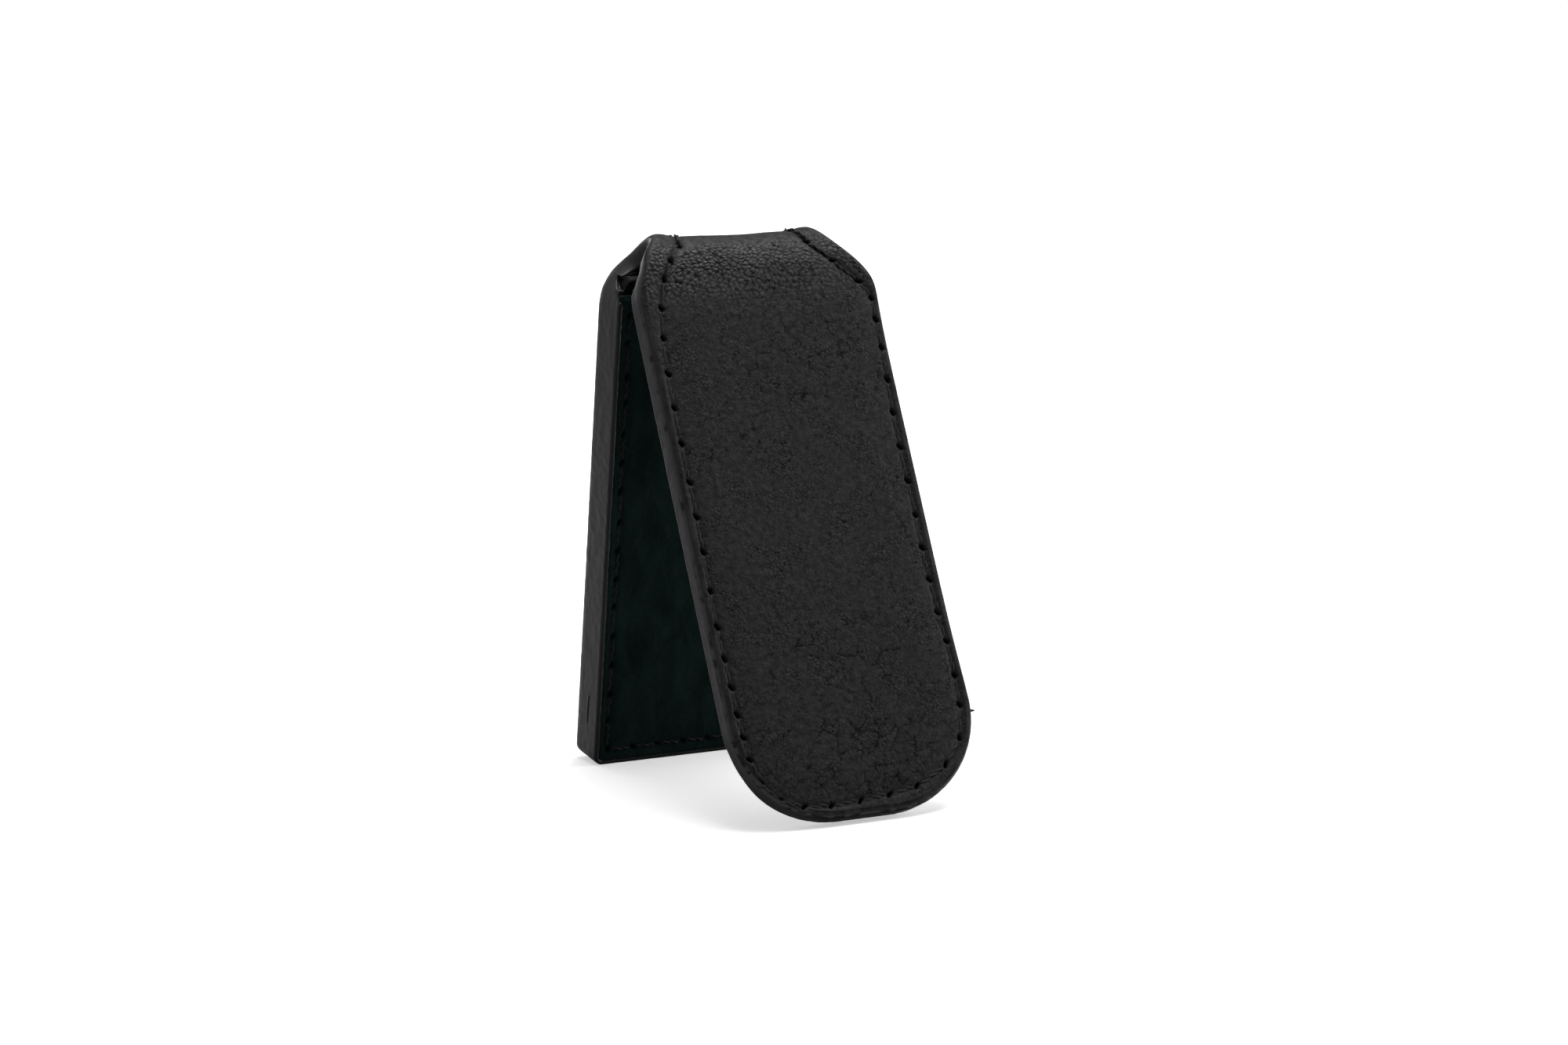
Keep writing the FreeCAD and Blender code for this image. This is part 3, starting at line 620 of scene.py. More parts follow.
# ====================================================================================================
# Materials
# ====================================================================================================
class Nodes:
    def __init__(self, name):
        self.mat = bpy.data.materials.new(name)
        self.mat.use_nodes = True
        self.t = self.mat.node_tree
        self.t.nodes.clear()
        self.out = self.add("ShaderNodeOutputMaterial")
        self.bsdf = self.add("ShaderNodeBsdfPrincipled")
        self.link(self.bsdf.outputs[0], self.out.inputs[0])

    def add(self, kind, **props):
        n = self.t.nodes.new(kind)
        for k, v in props.items():
            setattr(n, k, v)
        return n

    def link(self, a, b):
        self.t.links.new(a, b)

    def put(self, socket, value):
        if hasattr(value, "is_output"):
            self.link(value, socket)
        else:
            socket.default_value = value

    def attribute(self, name, vector=False):
        n = self.add("ShaderNodeAttribute", attribute_name=name)
        return n.outputs["Vector" if vector else "Fac"]

    def math(self, op, a, b=0.0, c=0.0, clamp=False):
        n = self.add("ShaderNodeMath", operation=op, use_clamp=clamp)
        self.put(n.inputs[0], a)
        self.put(n.inputs[1], b)
        if len(n.inputs) > 2:
            self.put(n.inputs[2], c)
        return n.outputs[0]

    def scaled(self, vector, scale):
        n = self.add("ShaderNodeVectorMath", operation="MULTIPLY")
        self.put(n.inputs[0], vector)
        n.inputs[1].default_value = scale
        return n.outputs[0]

    def noise(self, vector, scale, detail=4.0, rough=0.55, distort=0.0, color=False):
        n = self.add("ShaderNodeTexNoise")
        self.put(n.inputs["Vector"], vector)
        n.inputs["Scale"].default_value = scale
        n.inputs["Detail"].default_value = detail
        n.inputs["Roughness"].default_value = rough
        n.inputs["Distortion"].default_value = distort
        return n.outputs["Color" if color else "Fac"]

    def voronoi(self, vector, scale, feature="F1", randomness=1.0, output="Distance"):
        n = self.add("ShaderNodeTexVoronoi", feature=feature)
        self.put(n.inputs["Vector"], vector)
        n.inputs["Scale"].default_value = scale
        n.inputs["Randomness"].default_value = randomness
        return n.outputs[output]

    def ramp(self, fac, stops, linear=True):
        n = self.add("ShaderNodeValToRGB")
        n.color_ramp.interpolation = "LINEAR" if linear else "EASE"
        e = n.color_ramp.elements
        while len(e) > 1:
            e.remove(e[-1])
        e[0].position, e[0].color = stops[0][0], self.rgba(stops[0][1])
        for p, c in stops[1:]:
            x = e.new(p)
            x.color = self.rgba(c)
        self.put(n.inputs[0], fac)
        return n.outputs[0]

    @staticmethod
    def rgba(c):
        return (c, c, c, 1) if isinstance(c, (int, float)) else (*c, 1)

    def mix(self, fac, a, b, blend="MIX"):
        n = self.add("ShaderNodeMix", data_type="RGBA", blend_type=blend)
        self.put(n.inputs[0], fac)
        for s, v in ((n.inputs[6], a), (n.inputs[7], b)):
            if hasattr(v, "is_output"):
                self.link(v, s)
            else:
                s.default_value = self.rgba(v)
        return n.outputs[2]

    def span(self, value, a, b, lo, hi):
        n = self.add("ShaderNodeMapRange")
        n.clamp = True
        self.put(n.inputs[0], value)
        for k, v in enumerate((a, b, lo, hi)):
            n.inputs[k + 1].default_value = v
        return n.outputs[0]

    def bump(self, height, distance, strength=1.0, normal=None):
        n = self.add("ShaderNodeBump")
        n.inputs["Strength"].default_value = strength
        n.inputs["Distance"].default_value = distance
        self.put(n.inputs["Height"], height)
        if normal is not None:
            self.link(normal, n.inputs["Normal"])
        return n.outputs[0]

    def surface(self, **sockets):
        for k, v in sockets.items():
            s = self.bsdf.inputs[k.replace("_", " ")]
            if hasattr(v, "is_output"):
                self.link(v, s)
            elif isinstance(v, tuple) and len(v) == 3:
                s.default_value = (*v, 1)
            else:
                s.default_value = v
        return self.mat


def grained_leather(name):
    n = Nodes(name)
    pat = n.attribute("pat", True)
    dark, wear, calm = n.attribute("dark"), n.attribute("wear"), n.attribute("calm")
    warp = n.noise(pat, 0.9, 2, 0.5, color=True)
    bent = n.add("ShaderNodeVectorMath", operation="MULTIPLY_ADD")
    n.put(bent.inputs[0], warp)
    bent.inputs[1].default_value = (0.75, 0.75, 0.75)
    n.put(bent.inputs[2], pat)
    bent = bent.outputs[0]
    pebble = n.voronoi(bent, 1.95, "DISTANCE_TO_EDGE", 1.0)
    tiny = n.voronoi(bent, 3.9, "DISTANCE_TO_EDGE", 1.0)
    net = n.voronoi(bent, 0.92, "DISTANCE_TO_EDGE", 1.0)
    patches = n.noise(pat, 0.23, 3, 0.6)
    gate = n.noise(pat, 0.62, 2, 0.5)
    fine = n.noise(pat, 7.0, 4, 0.62)
    tone = n.noise(pat, 0.11, 4, 0.6)
    live = n.math("SUBTRACT", 1.0, calm)
    grainy = n.math("MULTIPLY", n.span(patches, 0.40, 0.60, 0.22, 1.0), n.math("MULTIPLY_ADD", live, 0.85, 0.15))
    creased = n.math("MULTIPLY", n.span(gate, 0.47, 0.62, 0.0, 1.0), live)
    dome = n.span(pebble, 0.0, 0.30, 0.0, 1.0)
    dome2 = n.span(tiny, 0.0, 0.30, 0.0, 1.0)
    crease = n.span(net, 0.0, 0.11, 1.0, 0.0)
    height = n.math("MULTIPLY", n.math("MULTIPLY_ADD", dome2, 0.38, n.math("MULTIPLY", dome, 0.75)), grainy)
    height = n.math("MULTIPLY_ADD", n.math("MULTIPLY", crease, creased), -0.60, height)
    height = n.math("MULTIPLY_ADD", fine, 0.30, height)
    base = n.mix(n.span(tone, 0.35, 0.65, 0.0, 1.0), (0.0072, 0.0072, 0.0073), (0.0108, 0.0107, 0.0106))
    base = n.mix(n.span(fine, 0.35, 0.75, 0.0, 0.4), base, (0.0170, 0.0166, 0.0162))
    mottle = n.noise(pat, 1.25, 3, 0.7)
    pits = n.voronoi(bent, 1.45, "F1", 1.0)
    pit = n.math("MULTIPLY", n.span(pits, 0.10, 0.26, 1.0, 0.0), n.span(patches, 0.38, 0.56, 0.15, 1.0))
    pit = n.math("MULTIPLY", pit, live)
    base = n.mix(n.math("MULTIPLY", n.span(mottle, 0.50, 0.72, 0.0, 0.75), live), base, 0.0190)
    base = n.mix(n.math("MULTIPLY", n.span(mottle, 0.50, 0.30, 0.0, 0.70), live), base, 0.0040)
    # painted shade: the pits' hollows are darkened in the base colour
    base = n.mix(n.math("MULTIPLY", pit, 0.75), base, 0.0015)
    valley = n.math("MULTIPLY", n.span(pebble, 0.0, 0.13, 1.0, 0.0), grainy)
    # painted highlight: the tops of the tiny domes are lightened in the base colour
    base = n.mix(n.math("MULTIPLY", n.math("MULTIPLY", dome2, grainy), 0.30), base, 0.0165)
    # painted shade: the valleys between the pebbles are darkened
    base = n.mix(n.math("MULTIPLY", valley, 0.62), base, 0.0022)
    # painted shade: the crease net's grooves are darkened
    base = n.mix(n.math("MULTIPLY", n.math("MULTIPLY", crease, creased), 0.6), base, 0.0022)
    # painted shade from the mesh's attribute: holes, seam groove, cracks, wrinkles and the lip's crease
    base = n.mix(n.math("MULTIPLY", dark, 0.95), base, 0.0010)
    # lighter base colour from the mesh's attribute: real rub along the rolled corner, and painted highlight on the
    # crackle's domes
    base = n.mix(n.math("MULTIPLY", wear, 0.32), base, 0.022)
    rough = n.span(fine, 0.3, 0.7, 0.50, 0.64)
    rough = n.math("MULTIPLY_ADD", dark, 0.26, rough)
    rough = n.math("MULTIPLY_ADD", valley, 0.12, rough)
    height = n.math("MULTIPLY_ADD", pit, -0.7, height)
    height = n.math("MULTIPLY_ADD", mottle, 0.8, height)
    normal = n.bump(height, 0.000034, 1.0)
    spec = n.math("MULTIPLY_ADD", dark, -0.22, n.span(mottle, 0.33, 0.67, 0.185, 0.35))
    spec = n.math("MULTIPLY_ADD", wear, 0.32, spec)
    spec = n.math("MULTIPLY_ADD", calm, -0.115, spec)
    spec = n.math("MULTIPLY_ADD", pit, -0.16, spec)
    spec = n.math("MULTIPLY_ADD", valley, -0.16, spec, clamp=True)
    return n.surface(Base_Color=base, Roughness=rough, Normal=normal, Specular_IOR_Level=spec, IOR=1.45)


def split_leather(name):
    """Backing leather and the core's cut leather: smoother, with pulled fibres and creases across the bend."""
    n = Nodes(name)
    pat = n.attribute("pat", True)
    dark = n.attribute("dark")
    streak = n.noise(n.scaled(pat, (0.35, 2.2, 1.0)), 1.3, 5, 0.65, 0.4)
    fine = n.noise(pat, 7.0, 6, 0.7)
    height = n.math("MULTIPLY_ADD", streak, 0.8, n.math("MULTIPLY", fine, 0.5))
    base = n.mix(n.span(streak, 0.3, 0.7, 0.0, 1.0), 0.0040, 0.0095)
    base = n.mix(n.span(fine, 0.5, 0.8, 0.0, 0.5), base, 0.015)
    # painted shade from the mesh's attribute: the core top's crevice, ends and end faces are darkened
    base = n.mix(n.math("MULTIPLY", dark, 0.95), base, 0.0008)
    rough = n.math("MULTIPLY_ADD", dark, 0.22, n.span(fine, 0.3, 0.7, 0.55, 0.78))
    return n.surface(Base_Color=base, Roughness=rough, Normal=n.bump(height, 0.00007, 0.9), Specular_IOR_Level=0.14)


def edge_paint(name):
    """Burnished, painted edge: satin, with faint lengthwise streaks where the layers lie under it."""
    n = Nodes(name)
    n.bsdf.inputs["Sheen Weight"].default_value = 0.35
    n.bsdf.inputs["Sheen Roughness"].default_value = 0.25
    n.bsdf.inputs["Coat Roughness"].default_value = 0.2
    n.bsdf.inputs["Coat IOR"].default_value = 1.4
    pat = n.attribute("pat", True)
    dark = n.attribute("dark")
    streak = n.noise(n.scaled(pat, (0.10, 2.4, 1.0)), 1.0, 4, 0.6, 0.25)
    fine = n.noise(pat, 5.5, 5, 0.6)
    blot = n.noise(pat, 0.45, 4, 0.6)
    height = n.math("MULTIPLY_ADD", streak, 0.45, n.math("MULTIPLY", fine, 0.25))
    base = n.mix(n.span(streak, 0.3, 0.7, 0.0, 1.0), (0.0052, 0.0054, 0.0055), (0.0082, 0.0081, 0.0078))
    base = n.mix(n.span(blot, 0.45, 0.8, 0.0, 0.35), base, 0.0105)
    # painted shade from the mesh's attribute: in the slit, at the crease by the lip and on the back bead's inner side
    base = n.mix(n.math("MULTIPLY", dark, 0.95), base, 0.0010)
    rough = n.span(fine, 0.3, 0.7, 0.42, 0.56)
    rough = n.math("MULTIPLY_ADD", n.span(blot, 0.3, 0.8, 0.0, 1.0), 0.06, rough)
    # the paint lies thick and glossy round the outer corner, and thin on the flat of the edge
    depth = n.add("ShaderNodeSeparateXYZ")
    n.put(depth.inputs[0], pat)
    n.link(n.math("MULTIPLY", n.span(depth.outputs[1], 0.5, 1.6, 0.85, 0.12), n.math("SUBTRACT", 1.0, dark)),
           n.bsdf.inputs["Coat Weight"])
    return n.surface(Base_Color=base, Roughness=rough, Normal=n.bump(height, 0.00004, 0.8), Specular_IOR_Level=0.24)


def suede(name):
    """Split suede: matt nap with brushed patches."""
    n = Nodes(name)
    pat = n.attribute("pat", True)
    dark = n.attribute("dark")
    nap = n.noise(n.scaled(pat, (1.0, 0.55, 1.0)), 6.5, 7, 0.72, 0.6)
    brushed = n.noise(n.scaled(pat, (1.0, 0.45, 1.0)), 0.33, 4, 0.6, 0.5)
    clump = n.noise(pat, 2.1, 4, 0.65)
    height = n.math("MULTIPLY_ADD", nap, 0.9, n.math("MULTIPLY", clump, 0.5))
    base = n.mix(n.span(brushed, 0.32, 0.7, 0.0, 1.0), (0.0036, 0.0088, 0.0088), (0.0128, 0.0262, 0.0255))
    base = n.mix(n.span(nap, 0.5, 0.8, 0.0, 0.6), base, (0.0200, 0.0350, 0.0330))
    # painted shade from the mesh's attribute: the nap is darkened in the holes and along the seam
    base = n.mix(n.math("MULTIPLY", dark, 0.9), base, (0.0008, 0.0012, 0.0012))
    n.bsdf.inputs["Sheen Weight"].default_value = 0.03
    n.bsdf.inputs["Sheen Roughness"].default_value = 0.6
    n.bsdf.inputs["Sheen Tint"].default_value = (0.55, 0.95, 0.9, 1)
    return n.surface(Base_Color=base, Roughness=n.span(nap, 0.3, 0.7, 0.88, 1.0), Normal=n.bump(height, 0.00012, 1.0),
                     Specular_IOR_Level=0.02)


def waxed_thread(name):
    n = Nodes(name)
    pat = n.attribute("pat", True)
    fibre = n.noise(n.scaled(pat, (1.0, 6.0, 6.0)), 3.0, 5, 0.7)
    fuzz = n.noise(pat, 14.0, 4, 0.6)
    base = n.mix(n.span(fibre, 0.3, 0.7, 0.0, 1.0), 0.0040, 0.0115)
    height = n.math("MULTIPLY_ADD", fibre, 0.7, n.math("MULTIPLY", fuzz, 0.3))
    return n.surface(Base_Color=base, Roughness=n.span(fuzz, 0.3, 0.7, 0.5, 0.68), Normal=n.bump(height, 0.00003, 0.8),
                     Specular_IOR_Level=0.25)


def nickel(name):
    n = Nodes(name)
    co = n.add("ShaderNodeTexCoord").outputs["Object"]
    mm = n.scaled(co, (1000, 1000, 1000))
    brushed = n.noise(n.scaled(mm, (0.4, 4.0, 4.0)), 2.0, 5, 0.6)
    spots = n.noise(mm, 0.5, 4, 0.6)
    base = n.mix(n.span(spots, 0.3, 0.7, 0.0, 1.0), (0.52, 0.50, 0.47), (0.66, 0.64, 0.60))
    base = n.mix(n.span(brushed, 0.6, 0.8, 0.0, 0.4), base, (0.38, 0.36, 0.33))
    rough = n.span(brushed, 0.3, 0.7, 0.2, 0.34)
    return n.surface(Base_Color=base, Roughness=rough, Metallic=1.0, Normal=n.bump(brushed, 0.00001, 0.6))


def fibre_board(name):
    n = Nodes(name)
    co = n.add("ShaderNodeTexCoord").outputs["Object"]
    mm = n.scaled(co, (1000, 1000, 1000))
    fibres = n.noise(n.scaled(mm, (1.0, 0.25, 0.25)), 3.0, 6, 0.7, 0.8)
    specks = n.voronoi(mm, 1.1, "F1", 1.0)
    base = n.mix(n.span(fibres, 0.3, 0.7, 0.0, 1.0), (0.035, 0.028, 0.020), (0.085, 0.068, 0.050))
    base = n.mix(n.span(specks, 0.0, 0.15, 0.6, 0.0), base, (0.15, 0.12, 0.09))
    return n.surface(Base_Color=base, Roughness=n.span(fibres, 0.3, 0.7, 0.7, 0.9), Normal=n.bump(fibres, 0.00006, 0.8))


def cut_leather(name):
    """The hidden frames round the magnets: vegetable-tanned leather dyed black, with a fibrous cut."""
    n = Nodes(name)
    co = n.add("ShaderNodeTexCoord").outputs["Object"]
    mm = n.scaled(co, (1000, 1000, 1000))
    fibres = n.noise(mm, 2.4, 7, 0.72, 0.5)
    blot = n.noise(mm, 0.3, 4, 0.6)
    base = n.mix(n.span(fibres, 0.3, 0.7, 0.0, 1.0), 0.008, 0.020)
    base = n.mix(n.span(blot, 0.4, 0.75, 0.0, 0.6), base, (0.030, 0.026, 0.022))
    return n.surface(Base_Color=base, Roughness=n.span(fibres, 0.3, 0.7, 0.62, 0.85), Normal=n.bump(fibres, 0.00012, 0.9),
                     Specular_IOR_Level=0.3)


GRAIN = grained_leather("grained_leather")
SPLIT = split_leather("split_leather")
PAINT = edge_paint("edge_paint")
SUEDE = suede("suede")
THREAD = waxed_thread("waxed_thread")
NICKEL = nickel("nickel_plate")
BOARD = fibre_board("fibre_board")
CUT = cut_leather("cut_leather")


# ====================================================================================================
# Layers
# ====================================================================================================
def cover_top(x, s):
    h, dark, wear, calm = face_relief(x, s)
    return h, {"dark": dark, "wear": wear, "calm": calm}


def cover_bottom(x, s):
    return np.full(np.shape(x), -COVER + 0.02)


front_rows = leg_rows("front", 0.165, 0.17)[::-1]
back_rows = leg_rows("back", 0.2, 0.12)
front_cover = sheet_solid("front_cover", front_rows, U, cover_top, cover_bottom, GRAIN)
back_cover = sheet_solid("back_cover", back_rows, U, cover_top, cover_bottom, GRAIN)
crown_cover, crown_backing = [], []


def backing_relief(x, s):
    """Out of the strap's underside, so negative is into the bend: creases across the bend."""
    inner = step(-1.5, 2.0, s) * (1 - step(S2 - 2.0, S2 + 1.5, s))
    warp = 0.35 * fbm(x / 2.2, s / 1.4, 131, 3)
    waves = perlin(x / 3.6 + 4.2, (s + warp) / 0.62, 133)
    ridge = (1 - np.abs(waves) * 1.9).clip(0, 1) ** 2
    h = inner * (0.13 * ridge - 0.05) + 0.03 * fbm(x / 0.7, s / 0.5, 135, 3)
    return h


def backing_top(x, s):
    h = backing_relief(x, s)
    d = edge_distance(x, s)
    return -strap_depth(s) - h + 0.3 * (1 - smooth(d / 0.7)), {"dark": np.zeros_like(x), "wear": np.zeros_like(x)}


def backing_bottom(x, s):
    return np.full(np.shape(x), -COVER - 0.02)


for k in range(4):
    n = int(math.ceil((ZONES[k + 1] - ZONES[k]) / 0.085))
    rows = np.linspace(ZONES[k], ZONES[k + 1], n + 1)
    crown_cover.append(sheet_solid("crown_cover_part_%d" % (k + 1), rows, U, cover_top, cover_bottom, GRAIN))
    rows = np.linspace(ZONES[k], ZONES[k + 1], n // 2 + 1)
    crown_backing.append(
        sheet_solid("crown_backing_part_%d" % (k + 1), rows, np.linspace(-1, 1, 121), backing_top, backing_bottom, SPLIT, True)
    )


# linings: sheets whose napped face looks into the clip
def lining_face(which):
    thick = T_FRONT if which == "front" else T_BACK
    top_at = -DROP_F if which == "front" else S2 + DROP_B
    line = INNER_LINE[which]
    cuts = INNER_CUTS[which]

    def f(x, s):
        d = edge_distance(x, s)
        e = np.minimum(d, np.abs(s - top_at))
        seam = seam_distance(x, s, line)
        h = 0.030 * fbm(x / 0.5, s / 0.8, 201, 4) + 0.045 * fbm(x / 2.4, s / 4.0, 203, 3)
        tuft = perlin(x / 0.26, s / 0.42, 205)
        h = h + 0.028 * tuft
        h -= 0.14 * np.exp(-((seam / 0.5) ** 2)) + 0.08 * np.exp(-((seam / 1.3) ** 2))
        hole = hole_depth(x, s, cuts, depth=0.35)
        h -= hole
        h -= 0.34 * (1 - smooth(e / 0.7))
        # painted shade: darker in the stitch holes and along the seam's groove
        dark = np.clip(hole / 0.35 + 0.25 * np.exp(-((seam / 0.4) ** 2)), 0, 1)
        return -thick - h, {"dark": dark, "wear": np.clip(1 - e / 0.8, 0, 1)}

    return f


def inner_holes(which):
    """The same stitches come out on the lining."""
    if which == "front":
        return [(x, s) for x, s in FRONT_HOLES if s < -DROP_F - 1.2]
    return [(x, s) for x, s in BACK_HOLES if s > S2 + DROP_B + 1.2]


INNER_HOLES = {w: inner_holes(w) for w in ("front", "back")}
INNER_CUTS = {w: slits(INNER_HOLES[w], 8) for w in ("front", "back")}
INNER_LINE = {w: catmull(INNER_HOLES[w], 5) for w in ("front", "back")}


def lining(which, ds):
    rows = leg_rows(which, ds, 0.2)
    drop = DROP_F if which == "front" else DROP_B
    d = -rows if which == "front" else rows - S2
    keep = d > drop + 0.05
    d = np.concatenate([[drop, drop + 0.06, drop + 0.14], d[keep & (d > drop + 0.2)]])
    rows = -d[::-1] if which == "front" else S2 + d
    thick = T_FRONT if which == "front" else T_BACK
    lay = 0.8 if which == "front" else 1.1
    cols = 161
    return sheet_solid(which + "_lining", rows, np.linspace(-1, 1, cols), lining_face(which),
                       lambda x, s: np.full(np.shape(x), -(thick - lay) - 0.02), SUEDE, True)


front_lining = lining("front", 0.24)
back_lining = lining("back", 0.2)


def core_top():
    """The top of the back leg's core, above the lining's end, with its inner corner rounded."""
    r, deep, end = 0.55, T_BACK - 1.1 + 0.03, DROP_B + 0.6
    a = np.linspace(0, math.pi / 2, 7)[1:]
    d = np.concatenate([np.full(12, 0.02), 0.02 + r - r * np.cos(a), np.linspace(0.02 + r, end, 14)[1:], [end]])
    z = np.concatenate([np.linspace(1.8, deep - r, 12), deep - r + r * np.sin(a), np.full(13, deep), [1.8]])
    u = np.linspace(-1, 1, 141)
    D, UU = np.meshgrid(d, u, indexing="ij")
    Z = np.tile(z[:, None], (1, len(u)))
    X = UU * (half_width(S2 + D) - 0.62)
    h = 0.07 * fbm(X / 2.2, D * 0.8 + Z / 1.1, 711, 3) + 0.04 * fbm(X / 0.5, D / 0.4 + Z / 0.4, 712, 3)
    tall = np.zeros_like(D)
    tall[1:11] = 1
    deeper = np.zeros_like(D)
    deeper[11:-1] = 1
    V = place(X, S2 + D - h * tall * 0.8, -(Z + h * deeper * 0.6))
    n, m = D.shape
    faces = [f for f in grid_faces(n, m, 0, True)]
    k = np.arange(1, m - 2)
    faces += [f for f in np.stack([k, k + 1, (n - 1) * m + k + 1, (n - 1) * m + k], -1)]
    # the two ends, cut into strips because the outline curves there
    feet = []
    for col in (0, m - 1):
        feet.append(place(X[12:-2, col], S2 + D[12:-2, col], np.full(n - 14, -1.8)))
    first = [n * m, n * m + n - 14]
    for side, col in enumerate((0, m - 1)):
        top = lambda i: i * m + col
        foot = lambda i: top(0) if i == 11 else top(n - 1) if i == n - 2 else first[side] + i - 12
        strips = [[top(i) for i in range(12)] + [top(12), foot(12)]]
        strips += [[top(i), top(i + 1), foot(i + 1), foot(i)] for i in range(12, n - 2)]
        faces += [f[::-1] for f in strips] if col == 0 else strips
    low, high = [foot_at + np.arange(n - 14) for foot_at in first]
    faces.append([0, 1, (n - 1) * m + 1, (n - 1) * m] + list(low[::-1]))
    faces.append([m - 2, m - 1] + list(high) + [(n - 1) * m + m - 1, (n - 1) * m + m - 2])
    V = np.concatenate([V.reshape(-1, 3)] + feet)
    pat = np.stack([X, D * 1.2 + Z, np.full_like(X, 60.0)], -1).reshape(-1, 3)
    # painted shade: darkened in the crevice where the core meets the strap, towards its two ends and over its end faces
    dark = 0.8 * np.exp(-(((Z - strap_depth(S2)) / 0.25) ** 2)) * (D < 0.1)
    dark = np.maximum(dark, 0.9 * step(0.86, 0.97, np.abs(UU)) * step(0.15, 0.5, D))
    pat = np.concatenate([pat, np.full((2 * (n - 14), 3), 61.0)])
    dark = np.concatenate([dark.ravel(), np.full(2 * (n - 14), 0.9)])
    return make_mesh("back_core_top", V, outward(V, faces), SPLIT, {"pat": pat, "dark": dark}, flat=m + 2 * n - 27)


back_core_top = core_top()


# ====================================================================================================
# Painted edges: a skin swept along the outline
# ====================================================================================================
def outline_points(which, ds=0.2):
    """(x, sigma, nx, ns) along one leg's outline, from the top on +X, round the end, to the top on -X; n points outwards."""
    L, c, hw = (LF, CORNER_F, HWF) if which == "front" else (LB, CORNER_B, HWB)
    n = int(math.ceil((L - c - 3) / ds))
    d = np.concatenate([np.arange(0, 3, 0.075), np.linspace(3, L - c, n + 1)])
    s = -d if which == "front" else S2 + d
    w = half_width(s)
    sl = width_slope(s) * (-1 if which == "front" else 1)  # dw/dd
    sl = np.where(d > 8, 0.0, sl)
    nx, nd = 1 / np.sqrt(1 + sl**2), -sl / np.sqrt(1 + sl**2)
    pts = [np.stack([w, d, nx, nd], -1)]
    m = int(math.ceil(c * math.pi / 2 / ds))
    th = np.linspace(0, math.pi / 2, m + 1)[1:]
    pts.append(np.stack([hw - c + c * np.cos(th), L - c + c * np.sin(th), np.cos(th), np.sin(th)], -1))
    k = int(math.ceil(2 * (hw - c) / ds))
    xs = np.linspace(hw - c, -(hw - c), k + 1)[1:]
    pts.append(np.stack([xs, np.full(k, L), np.zeros(k), np.ones(k)], -1))
    right = np.vstack(pts[:2])
    left = right[::-1].copy()
    left[:, 0] *= -1
    left[:, 2] *= -1
    whole = np.vstack([right, pts[2], left[1:]])
    sign = -1 if which == "front" else 1
    x, s = whole[:, 0], (0 if which == "front" else S2) + sign * whole[:, 1]
    return x, s, whole[:, 2], sign * whole[:, 3]


def bead_profiles(s, depths, sides, r_in=(0.5, 0.6)):
    """Each station's closed profile as (inset, depth) arrays: lip, outer ellipse, side, inner corner, back inside."""
    rx, rz = edge_round(s)
    rz = np.minimum(rz, depths - r_in[1] - 0.2)
    lip = lip_inset(s)
    rows_i, rows_z = [], []
    sa0 = np.clip((rx - lip) / (rx + BULGE), 0, 0.99)
    a0 = np.arcsin(sa0)
    raise_ = 0.0
    # tucked under the face's surface, then the lip
    rows_i.append(lip + 0.14)
    rows_z.append(rz * (1 - np.cos(np.arcsin(np.clip((rx - lip - 0.14) / (rx + BULGE), 0, 0.99)))) + 0.12)
    rows_i.append(lip + 0.05)
    rows_z.append(rz * (1 - np.cos(np.arcsin(np.clip((rx - lip - 0.05) / (rx + BULGE), 0, 0.99)))) + 0.01)
    for t in np.linspace(0, 1, 12):
        a = a0 + (math.pi / 2 - a0) * t
        k = raise_ * (1 - 0.6 * t)
        rows_i.append(rx - (rx + BULGE) * np.sin(a) - k * np.sin(a))
        rows_z.append(rz * (1 - np.cos(a)) - k * np.cos(a))
    for t in np.linspace(0, 1, sides + 1)[1:]:
        z = rz + (depths - rz - r_in[1]) * t
        rows_i.append(np.full(len(s), -BULGE - 0.014))
        rows_z.append(z)
    for t in np.linspace(0, 1, 9)[1:]:
        a = t * math.pi / 2
        rows_i.append(-BULGE - 0.014 + (r_in[0] + BULGE) * (1 - math.cos(a)) * np.ones(len(s)))
        rows_z.append(depths - r_in[1] + r_in[1] * math.sin(a))
    outer = len(rows_i)
    rows_i += [np.full(len(s), 0.62), np.full(len(s), 0.62), np.full(len(s), 0.72) * 1.0]
    rows_z += [depths - 0.16, depths * 0.5, rz * 0.55 + 0.25]
    return np.stack(rows_i, 1), np.stack(rows_z, 1), outer


def streaks(z, run, total, seed, much=1.0):
    """Small ridges and grooves along the edge where the layers meet, in mm outwards."""
    h = np.zeros(np.broadcast(z, run).shape)
    joints = [COVER, T_STRAP] + ([T_BACK - 1.1] if total > 4 else [])
    for k, at in enumerate(joints):
        wob = at + 0.05 * perlin(run / 6.0, k * 3.3, seed + k)
        depth = 0.02 + 0.03 * step(-0.2, 0.5, perlin(run / 4.0, k * 1.7 + 9, seed + 10 + k))
        h -= much * depth * np.exp(-(((z - wob) / 0.10) ** 2))
    h += 0.010 * much * fbm(z / 0.35, run / 9.0, seed + 20, 3) + 0.022 * fbm(z / 2.0, run / 3.2, seed + 21, 3)
    return h


